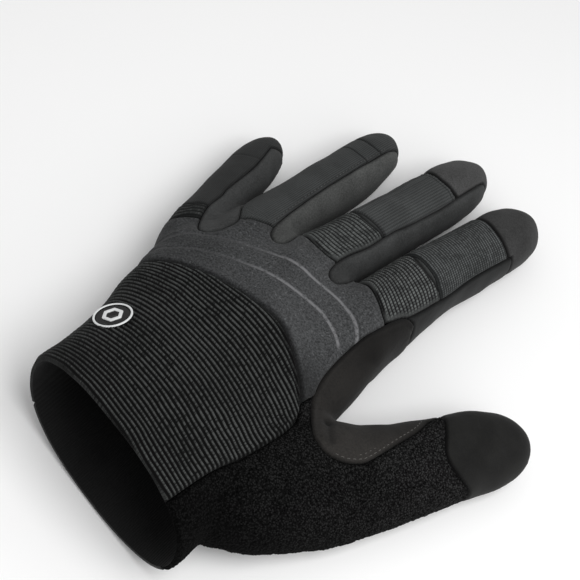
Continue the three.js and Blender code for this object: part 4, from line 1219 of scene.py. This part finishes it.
def finger_band(name, rows, lower, upper, count, tail, height=0.42, mat=None, rim=0.0, full=1.0):
    """Ribs across a finger's root; at the far end a groove that bows away from the seam encloses a smooth crescent."""
    v, f = ready(name)
    p = v[:, :3]
    v[:, S] = between(sorted_line(lower), sorted_line(upper), p, count) + 0.06 * noise(p, 14, 41)
    _, v[:, T], side = cross_rows(rows, p)
    bow = np.clip(1 - ((side + 0.5) / 11.5) ** 2, 0, 1)
    v[:, M] = count - v[:, S] - (tail * bow + 0.25)
    v, f = edge_cuts(v, f)
    v, f = ribs(v, f, (0.0, 0.25, 0.5, 0.75))
    if tail:
        for lv in (-0.6, -0.30, 0.0, 0.30, 0.6):
            v, f = split(v, f, M, lv)
    w = np.abs((v[:, S] + 0.5) % 1 - 0.5)
    flat = np.zeros(len(v))
    tone = np.full(len(v), full)
    h = edge_dip(v[:, D], 0.9, 1.3)
    side = cross_rows(rows, v[:, :3])[2]
    if tail:
        a = np.abs(v[:, M])
        open_ = step(0.12, 0.4, np.clip(1 - ((side + 0.5) / 11.5) ** 2, 0, 1))
        h += -0.95 * (1 - step(0.15, 0.62, a)) * open_
        # painted shade: the groove is painted nearly black
        tone *= 1 - 0.93 * (1 - step(0.15, 0.62, a)) * open_
        flat = np.maximum(flat, step(0.25, -0.1, v[:, M]))
        h += 0.25 * flat * open_
        far_ = line_of(upper)(v[:, :3])[0]
        shut = 1 - step(0.4, 1.5, np.maximum(np.abs(far_), v[:, D]))
        # painted shade in the sunken seam at the far end of the band
        tone *= 1 - 0.85 * shut
        h += -0.5 * shut
    # painted shade: darker down one side of the finger
    tone *= 1 - 0.40 * step(5, 14, side)
    if rim:                                               # the smooth edge next to the side wall
        flat = np.maximum(flat, step(rim, rim * 0.4, v[:, D]) * step(-3, -7, side))
        flat = np.maximum(flat, 0.85 * step(rim, rim * 0.5, v[:, D]) * step(3, 6, side))
    h += height * (1 - step(0.12, 0.5, w)) * step(0, 1.2, v[:, D]) * (1 - flat) - 0.12
    v[:, M], v[:, K] = flat, tone
    return build(name, v, f, h, [mat or M_grid, lining])


finger_band("index_knuckle_band", INDEX, idxBase, idxMid, 17.5, 1.15, rim=2.6)
finger_band("middle_knuckle_band", MIDDLE, midBase, midMid, 16.5, 1.0, mat=M_gridmid, rim=2.2)
finger_band("little_knuckle_band", LITTLE, littleBase, littleMid, 4.5, 0, 0.3, mat=M_gridmid, full=0.26)

def hem_cuts(v, f, line):
    v[:, M] = np.clip(np.abs(line_of(line)(v[:, :3])[0]), 0, 9)
    for lv in (0.5, 1.0, 1.4, 1.9, 3.0, 3.4, 3.8):
        v, f = split(v, f, M, lv)
    return v, f


def hem(v, line):
    """The deep seam in front of a cap, and the shallow line of the hem behind it: height, and a tone that paints shade
    into both grooves.
    """
    e = np.abs(line_of(line)(v[:, :3])[0])
    deep, fine = 1 - step(1.0, 1.9, e), 1 - step(0.0, 0.5, np.abs(e - 3.4))
    return -0.7 * deep - 0.30 * fine, (1 - 0.92 * deep) * (1 - 0.5 * fine)


# index, second part: a finer grid
v, f = ready("index_back")
p = v[:, :3]
v[:, S] = between(sorted_line(idxMid), sorted_line(idxCap), p, 33.0) + 0.05 * noise(p, 14, 42)
_, v[:, T], _ = cross_rows(INDEX, p)
v, f = edge_cuts(v, f)
v, f = ribs(v, f, (0.0, 0.25, 0.5, 0.75))
w = np.abs((v[:, S] + 0.5) % 1 - 0.5)
v, f = hem_cuts(v, f, idxCap)
w = np.abs((v[:, S] + 0.5) % 1 - 0.5)
h = 0.26 * (1 - step(0.12, 0.5, w)) * step(0, 1.2, v[:, D]) - 0.06 + edge_dip(v[:, D], 0.9, 1.3)
hem_h, v[:, K] = hem(v, idxCap)
# painted shade: darker down one side of the finger
v[:, K] *= 1 - 0.35 * step(5, 13, cross_rows(INDEX, v[:, :3])[2])
h += hem_h
v[:, M] = 0
build("index_back", v, f, h, [M_gridfine, lining])

# middle, second part: lengthwise gathers
v, f = ready("middle_back")
p = v[:, :3]
v[:, S], v[:, T], side = cross_rows(MIDDLE, p)
v, f = edge_cuts(v, f)
v, f = quartered(v, f)
v, f = hem_cuts(v, f, midCap)
gather = np.sin(v[:, T] * 2 * np.pi / 1.9 + 1.5 * noise(v[:, :3], 12, 51))
strength = 0.35 + 0.65 * step(2, 9, np.abs(v[:, T]))
h = 0.15 * gather * strength * step(0, 1.5, v[:, D]) + edge_dip(v[:, D], 0.9, 1.3)
h += 0.28 * noise(v[:, :3] * np.array([1.6, 0.5, 1.0]), 7, 52) * step(0, 3, v[:, D])
h += 0.20 * noise(v[:, :3] * np.array([1.0, 0.8, 1.0]), 2.6, 53) * step(216, 226, v[:, S]) * step(0, 1.5, v[:, D])
hem_h, v[:, K] = hem(v, midCap)
h += hem_h
v[:, M] = 0
build("middle_back", v, f, h, [M_midback, lining])

# ring and little backs
v, f = ready("ring_back")
p = v[:, :3]
v[:, S], v[:, T], side = cross_rows(RING, p)
e, _ = line_of(smooth(P(-45, 220.5, -34, 220.2, -28, 218.6, -22, 217.6, -14, 218)))(p)
v[:, M] = np.clip(e, -6, 6)
v, f = edge_cuts(v, f)
for lv in (-0.8, -0.35, 0.0, 0.35, 0.8):
    v, f = split(v, f, M, lv)
v, f = quartered(v, f)
low_rib = step(153, 146, v[:, S])
h = edge_dip(v[:, D], 0.9, 1.3) - 0.5 * (1 - step(0.0, 0.8, np.abs(v[:, M])))
h += low_rib * 0.22 * np.cos(2 * np.pi * v[:, S] / 1.8) * step(0, 1.2, v[:, D])
h += 0.25 * noise(v[:, :3] * np.array([1.2, 0.7, 1.0]), 8, 61) * step(0, 3, v[:, D])
# painted shade in the groove across the ring finger
v[:, K] = 1 - 0.5 * (1 - step(0.2, 0.8, np.abs(v[:, M])))
v[:, M] = 0
extra = stitched(ringSeam[6:], 1.5, long=1.5, gap=0.8, wide=0.38)
build("ring_back", v, f, h, [M_ring, lining, M_dark_stitch], extra)

v, f = ready("little_back")
p = v[:, :3]
v[:, S], v[:, T], side = cross_rows(LITTLE, p)
e, _ = line_of(smooth(P(-72, 178.5, -62, 178.8, -56, 180.6, -50, 184.5)))(p)
v[:, M] = np.clip(e, -6, 6)
v, f = edge_cuts(v, f)
for lv in (-0.8, -0.35, 0.0, 0.35, 0.8):
    v, f = split(v, f, M, lv)
h = edge_dip(v[:, D], 0.9, 1.3) - 0.3 * (1 - step(0.0, 0.9, np.abs(v[:, M])))
h += 0.3 * noise(v[:, :3] * np.array([1.2, 0.8, 1.0]), 9, 62) * step(0, 3, v[:, D])
v[:, M], v[:, K] = 0, 1
build("little_back", v, f, h, [M_little, lining])


# ------------------------------------------------------------------ smooth panels
def plain(name, mat, rows=None, puff=0.25, wrinkle=0.25, size=8.0, seed=70, extra=None, more=(), edge=(0.9, 1.3), shape=None, shade=None):
    v, f = ready(name)
    p = v[:, :3]
    if rows is not None:
        v[:, S], v[:, T], _ = cross_rows(rows, p)
    else:
        v[:, S], v[:, T] = p[:, 1], p[:, 0]
    v, f = edge_cuts(v, f, (0.3, 0.7, 1.2, 2.2))
    h = edge_dip(v[:, D], *edge) + puff * step(0, 4, v[:, D])
    h += wrinkle * noise(v[:, :3], size, seed) * step(0, 3, v[:, D])
    v[:, K] = 1
    if shape is not None:
        h = h + shape(v)
    if shade is not None:
        v[:, K] = shade(v)
    lift_ = np.clip(v[:, 2] / 3, 0, 1)
    h = np.where(h > 0, h * lift_, h)
    return build(name, v, f, h, [mat, lining, *more], extra)


plain("fourchette_little_ring", M_side_dark, None, 0.35, 0.3, 9, 71)
plain("fourchette_ring_middle", M_side, None, 0.35, 0.3, 9, 72, shade=lambda v: 1 + 0.28 * step(182, 215, v[:, 1]))
plain("fourchette_middle_index", M_side_dark, None, 0.35, 0.3, 9, 73, shade=lambda v: 0.80 + 0.26 * step(148, 175, v[:, 1]))
def cap_shade(v):
    return 1 - 0.8 * (1 - step(0.2, 1.1, v[:, D]))


plain("index_tip_cap", M_caps, INDEX, 0.3, 0.2, 8, 74, edge=(1.2, 1.8), shade=cap_shade)
plain("middle_tip_cap", M_midcap_lit, MIDDLE, 0.3, 0.2, 8, 75, edge=(1.2, 1.8), shade=cap_shade)
plain("thumb_tip_cap", M_thumb_cap, THUMB, 0.3, 0.25, 9, 76, edge=(1.1, 1.6), shade=cap_shade)
plain("palm_panel", M_palm, None, 0.0, 0.3, 9, 77, edge=(0.5, 1.3))

v, f = ready("ring_tip_cap")
v[:, S], v[:, T], side = cross_rows(RING, v[:, :3])
v, f = edge_cuts(v, f)
h = edge_dip(v[:, D], 0.8, 1.3) + 0.2 * noise(v[:, :3], 7, 63) * step(0, 3, v[:, D])
v[:, K] = 1
build("ring_tip_cap", v, f, h, [M_ring, lining])

# the saddle: a rolled edge along its outer seam, and two rows of stitches low on it
saddle_at = line_of(saddleSeam)
saddle_run = np.r_[0, np.cumsum(np.linalg.norm(np.diff(saddleSeam, axis=0), axis=1))]


def saddle_shape(v):
    e, far = saddle_at(v[:, :3])
    e = np.abs(e)
    roll = 1 - step(66, 78, far)
    out = roll * (0.30 * (1 - step(0.0, 0.9, np.abs(e - 1.0))) - 0.30 * (1 - step(0.0, 0.7, np.abs(e - 2.3))))
    out -= 0.8 * np.exp(-crotch_fold(v) ** 2) + 0.6 * crotch_pocket(v)
    return out + 0.35 * noise(v[:, :3], 4.5, 79) * np.exp(-(np.linalg.norm(v[:, :2] - (54, 84), axis=1) / 8) ** 2)


def crotch_fold(v):
    """How far from the short crease that runs down from the crotch, in widths of it."""
    a, b = np.array([48.5, 92.0]), np.array([55.5, 82.5])
    t = np.clip(((v[:, :2] - a) @ (b - a)) / ((b - a) @ (b - a)), 0, 1)
    return np.linalg.norm(v[:, :2] - a - t[:, None] * (b - a), axis=1) / 1.3


def crotch_pocket(v):
    return np.exp(-(np.linalg.norm(v[:, :2] - (49.3, 90.8), axis=1) / 2.0) ** 2)


def saddle_shade(v):
    up = np.interp(v[:, 1], (92, 104, 118, 134, 152), (1.0, 0.74, 0.56, 0.32, 0.22))
    return up * (1 - 0.48 * np.exp(-crotch_fold(v) ** 2)) * (1 - 0.72 * crotch_pocket(v))


rows_ = stitched(saddleSeam, 1.5, long=1.5, gap=0.9, wide=0.32, start=94) + stitched(saddleSeam, 3.0, long=1.3, gap=1.1, wide=0.30, start=100)
plain("thumb_saddle", M_saddle, None, 0.4, 0.35, 10, 78, rows_, (M_stitch,), shape=saddle_shape, shade=saddle_shade)

# ------------------------------------------------------------------ thumb panel
v, f = ready("thumb_panel")
v[:, S], v[:, T] = v[:, 1], v[:, 0]
v, f = edge_cuts(v, f)
v, f = quartered(v, f)
pile = 0.5 - cells(v[:, :3], 1.1, 5)
h = edge_dip(v[:, D], 0.8, 1.3) + 0.6 * pile * step(0, 1.0, v[:, D]) * np.clip(v[:, 2] / 2, 0, 1)
h += 0.25 * noise(v[:, :3], 3.2, 81) * step(0, 2, v[:, D]) * np.clip(v[:, 2] / 3, 0, 1)
# painted shading: the terry is darker near the cuff and lighter towards the thumb
v[:, K] = np.interp(v[:, 1], (18, 35, 50, 62, 80, 108), (0.56, 0.74, 1.15, 1.45, 1.8, 2.35))
build("thumb_panel", v, f, h, [M_terry, lining])

# ------------------------------------------------------------------ badge
BADGE_AT, BADGE_R, BADGE_RING, BADGE_THICK, BADGE_SUNK, BADGE_PROUD = (-30.2, 60.1), 7.3, 0.8, 1.8, 0.45, 0.4


def hand_top(x, y):
    r = np.array(HAND[1:], float)
    i = int(np.nonzero(r[:, 1] > y)[0][0]) - 1
    k = (y - r[i, 1]) / (r[i + 1, 1] - r[i, 1])
    z = []
    for row in (r[i], r[i + 1]):
        u = (x - row[0]) / math.cos(math.radians(row[2])) / row[3]
        z.append((row[5] + row[4]) / 2 + (row[5] - row[4]) / 2 * (1 - abs(u) ** row[7]) ** (1 / row[7]))
    return z[0] * (1 - k) + z[1] * k


bx, by = BADGE_AT
slope = Vector(((hand_top(bx - 3, by) - hand_top(bx + 3, by)) / 6 + 0.09, (hand_top(bx, by - 3) - hand_top(bx, by + 3)) / 6 - 0.09, 1)).normalized()
seat = Vector((bx, by, hand_top(bx, by))) - slope * BADGE_SUNK
stand = Matrix.Translation(seat) @ Vector((0, 0, 1)).rotation_difference(slope).to_matrix().to_4x4()


def placed(name, verts, faces, mat, node, below=None):
    me = bpy.data.meshes.new(name)
    me.from_pydata([tuple(((stand @ Vector(p)) - Vector(ORIGIN)) / 1000) for p in verts], [], faces)
    me.update()
    me.shade_smooth()
    me.materials.append(mat)
    if below is not None:                                 # a second material under this height
        me.materials.append(below[1])
        z = np.array([p[2] for p in verts])
        me.polygons.foreach_set("material_index", (z[np.array(faces)].min(1) < below[0]).astype(np.int32))
    ob = bpy.data.objects.new(name, me)
    bpy.context.scene.collection.objects.link(ob)
    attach(ob, "root")
    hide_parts(node)
    return ob


def turned(profile, sides=96, closed=True):
    v = [(r * math.cos(2 * math.pi * k / sides), r * math.sin(2 * math.pi * k / sides), z) for r, z in profile for k in range(sides)]
    n = len(profile)
    f = []
    for i in range(n if closed else n - 1):
        for k in range(sides):
            a, b = i * sides + k, i * sides + (k + 1) % sides
            c, d = ((i + 1) % n) * sides + k, ((i + 1) % n) * sides + (k + 1) % sides
            f.append((a, b, d, c))
    return v, f


def rounded(r0, r1, z0, z1, r=0.28, n=5):
    """Profile of a ring with rounded upper edges, wound outwards."""
    pts = [(r0, z0), (r1, z0), (r1, z1 - r - 0.15)]
    for i in range(n + 1):
        a = math.pi / 2 * i / n
        pts.append((r1 - r + r * math.cos(a), z1 - r + r * math.sin(a)))
    for i in range(n + 1):
        a = math.pi / 2 * i / n
        pts.append((r0 + r - r * math.sin(a), z1 - r + r * math.cos(a)))
    return pts


v_, f_ = turned(rounded(BADGE_R - BADGE_RING, BADGE_R, 0, BADGE_THICK + BADGE_PROUD))
placed("badge_rim_moulded", v_, f_, M_white, "badge_ring", (BADGE_THICK + BADGE_PROUD - 0.45, M_rubber))
disc = [(0.01, 0.0), (BADGE_R - BADGE_RING - 0.05, 0.0), (BADGE_R - BADGE_RING - 0.05, BADGE_THICK - 0.2), (BADGE_R - BADGE_RING - 0.35, BADGE_THICK - 0.05), (BADGE_R - BADGE_RING - 0.8, BADGE_THICK), (2.0, BADGE_THICK + 0.05), (0.01, BADGE_THICK + 0.06)]
v_, f_ = turned(disc)
placed("badge_disc_moulded", v_, f_, M_rubber, "badge_disc")
# a plain hexagon outline with softened edges
hex_profile = rounded(BADGE_R * 0.36, BADGE_R * 0.56, BADGE_THICK + 0.02, BADGE_THICK + 0.6, 0.16, 3)
v_, f_ = [], []
corners = []
for k in range(6):
    for off in (-0.10, 0.0, 0.10):
        corners.append((k, off))
for r, z in hex_profile:
    for k, off in corners:
        a = math.pi / 3 * k
        c = np.array([math.cos(a), math.sin(a)]) * r
        if off:
            o = math.pi / 3 * (k + (1 if off > 0 else -1))
            c = c + (np.array([math.cos(o), math.sin(o)]) * r - c) * abs(off)
        else:
            c = c * 0.985
        v_.append((c[0], c[1], z))
sides_, n_ = len(corners), len(hex_profile)
for i in range(n_):
    for k in range(sides_):
        a, b = i * sides_ + k, i * sides_ + (k + 1) % sides_
        c, d = ((i + 1) % n_) * sides_ + k, ((i + 1) % n_) * sides_ + (k + 1) % sides_
        f_.append((a, b, d, c))
placed("badge_mark_moulded", v_, f_, M_white, "badge_mark")

# ------------------------------------------------------------------ floor, light, camera
floor_me = bpy.data.meshes.new("floor")
floor_me.from_pydata([(-3, -3, -0.0003), (3, -3, -0.0003), (3, 3, -0.0003), (-3, 3, -0.0003)], [], [(0, 1, 2, 3)])
floor_me.update()
fm = Mat("floor_pale", 0.9, specular=0.1)
floor_me.materials.append(fm.finish(fm.scale_colour(rgb(254, k=1.0), fm.range(fm.noise(3, 2, 0.5), 0.3, 0.7, 0.985, 1.0))))
floor = bpy.data.objects.new("floor", floor_me)
bpy.context.scene.collection.objects.link(floor)

world = bpy.data.worlds.new("studio")
bpy.context.scene.world = world
world.use_nodes = True
world.node_tree.nodes["Background"].inputs["Color"].default_value = (1, 1, 1, 1)
world.node_tree.nodes["Background"].inputs["Strength"].default_value = 0.50


def soft_light(name, at, to, size, power):
    li = bpy.data.lights.new(name, "AREA")
    li.shape, li.size, li.energy = "SQUARE", size, power
    ob = bpy.data.objects.new(name, li)
    bpy.context.scene.collection.objects.link(ob)
    ob.location = at
    ob.rotation_mode = "QUATERNION"
    ob.rotation_quaternion = (Vector(to) - Vector(at)).to_track_quat("-Z", "Y")


soft_light("key", (0.36, -0.18, 0.80), (0, 0, 0.02), 0.55, 4.7)
soft_light("fill", (0.95, -0.45, 0.7), (0, 0, 0.02), 0.9, 2.8)

cam_data = bpy.data.cameras.new("camera")
cam_data.sensor_width = 36
cam_data.lens = 1500.06 * 36 / 580
cam_data.clip_start, cam_data.clip_end = 0.01, 10
cam = bpy.data.objects.new("camera", cam_data)
bpy.context.scene.collection.objects.link(cam)
right, up_, fwd = Vector((0.77461, 0.58443, 0.24169)), Vector((-0.59253, 0.53703, 0.60042)), Vector((-0.22111, 0.60831, -0.76228))
look = Matrix((right, up_, -fwd)).transposed().to_4x4()
look.translation = Vector((0.13037 - 0.02413, -0.2222545 - 0.13866, 0.4731515))
cam.matrix_world = look
bpy.context.scene.camera = cam
bpy.context.scene.view_settings.view_transform = "Standard"

print("triangles", sum(n for _, n in made.values()), {k: n for k, (_, n) in made.items()})
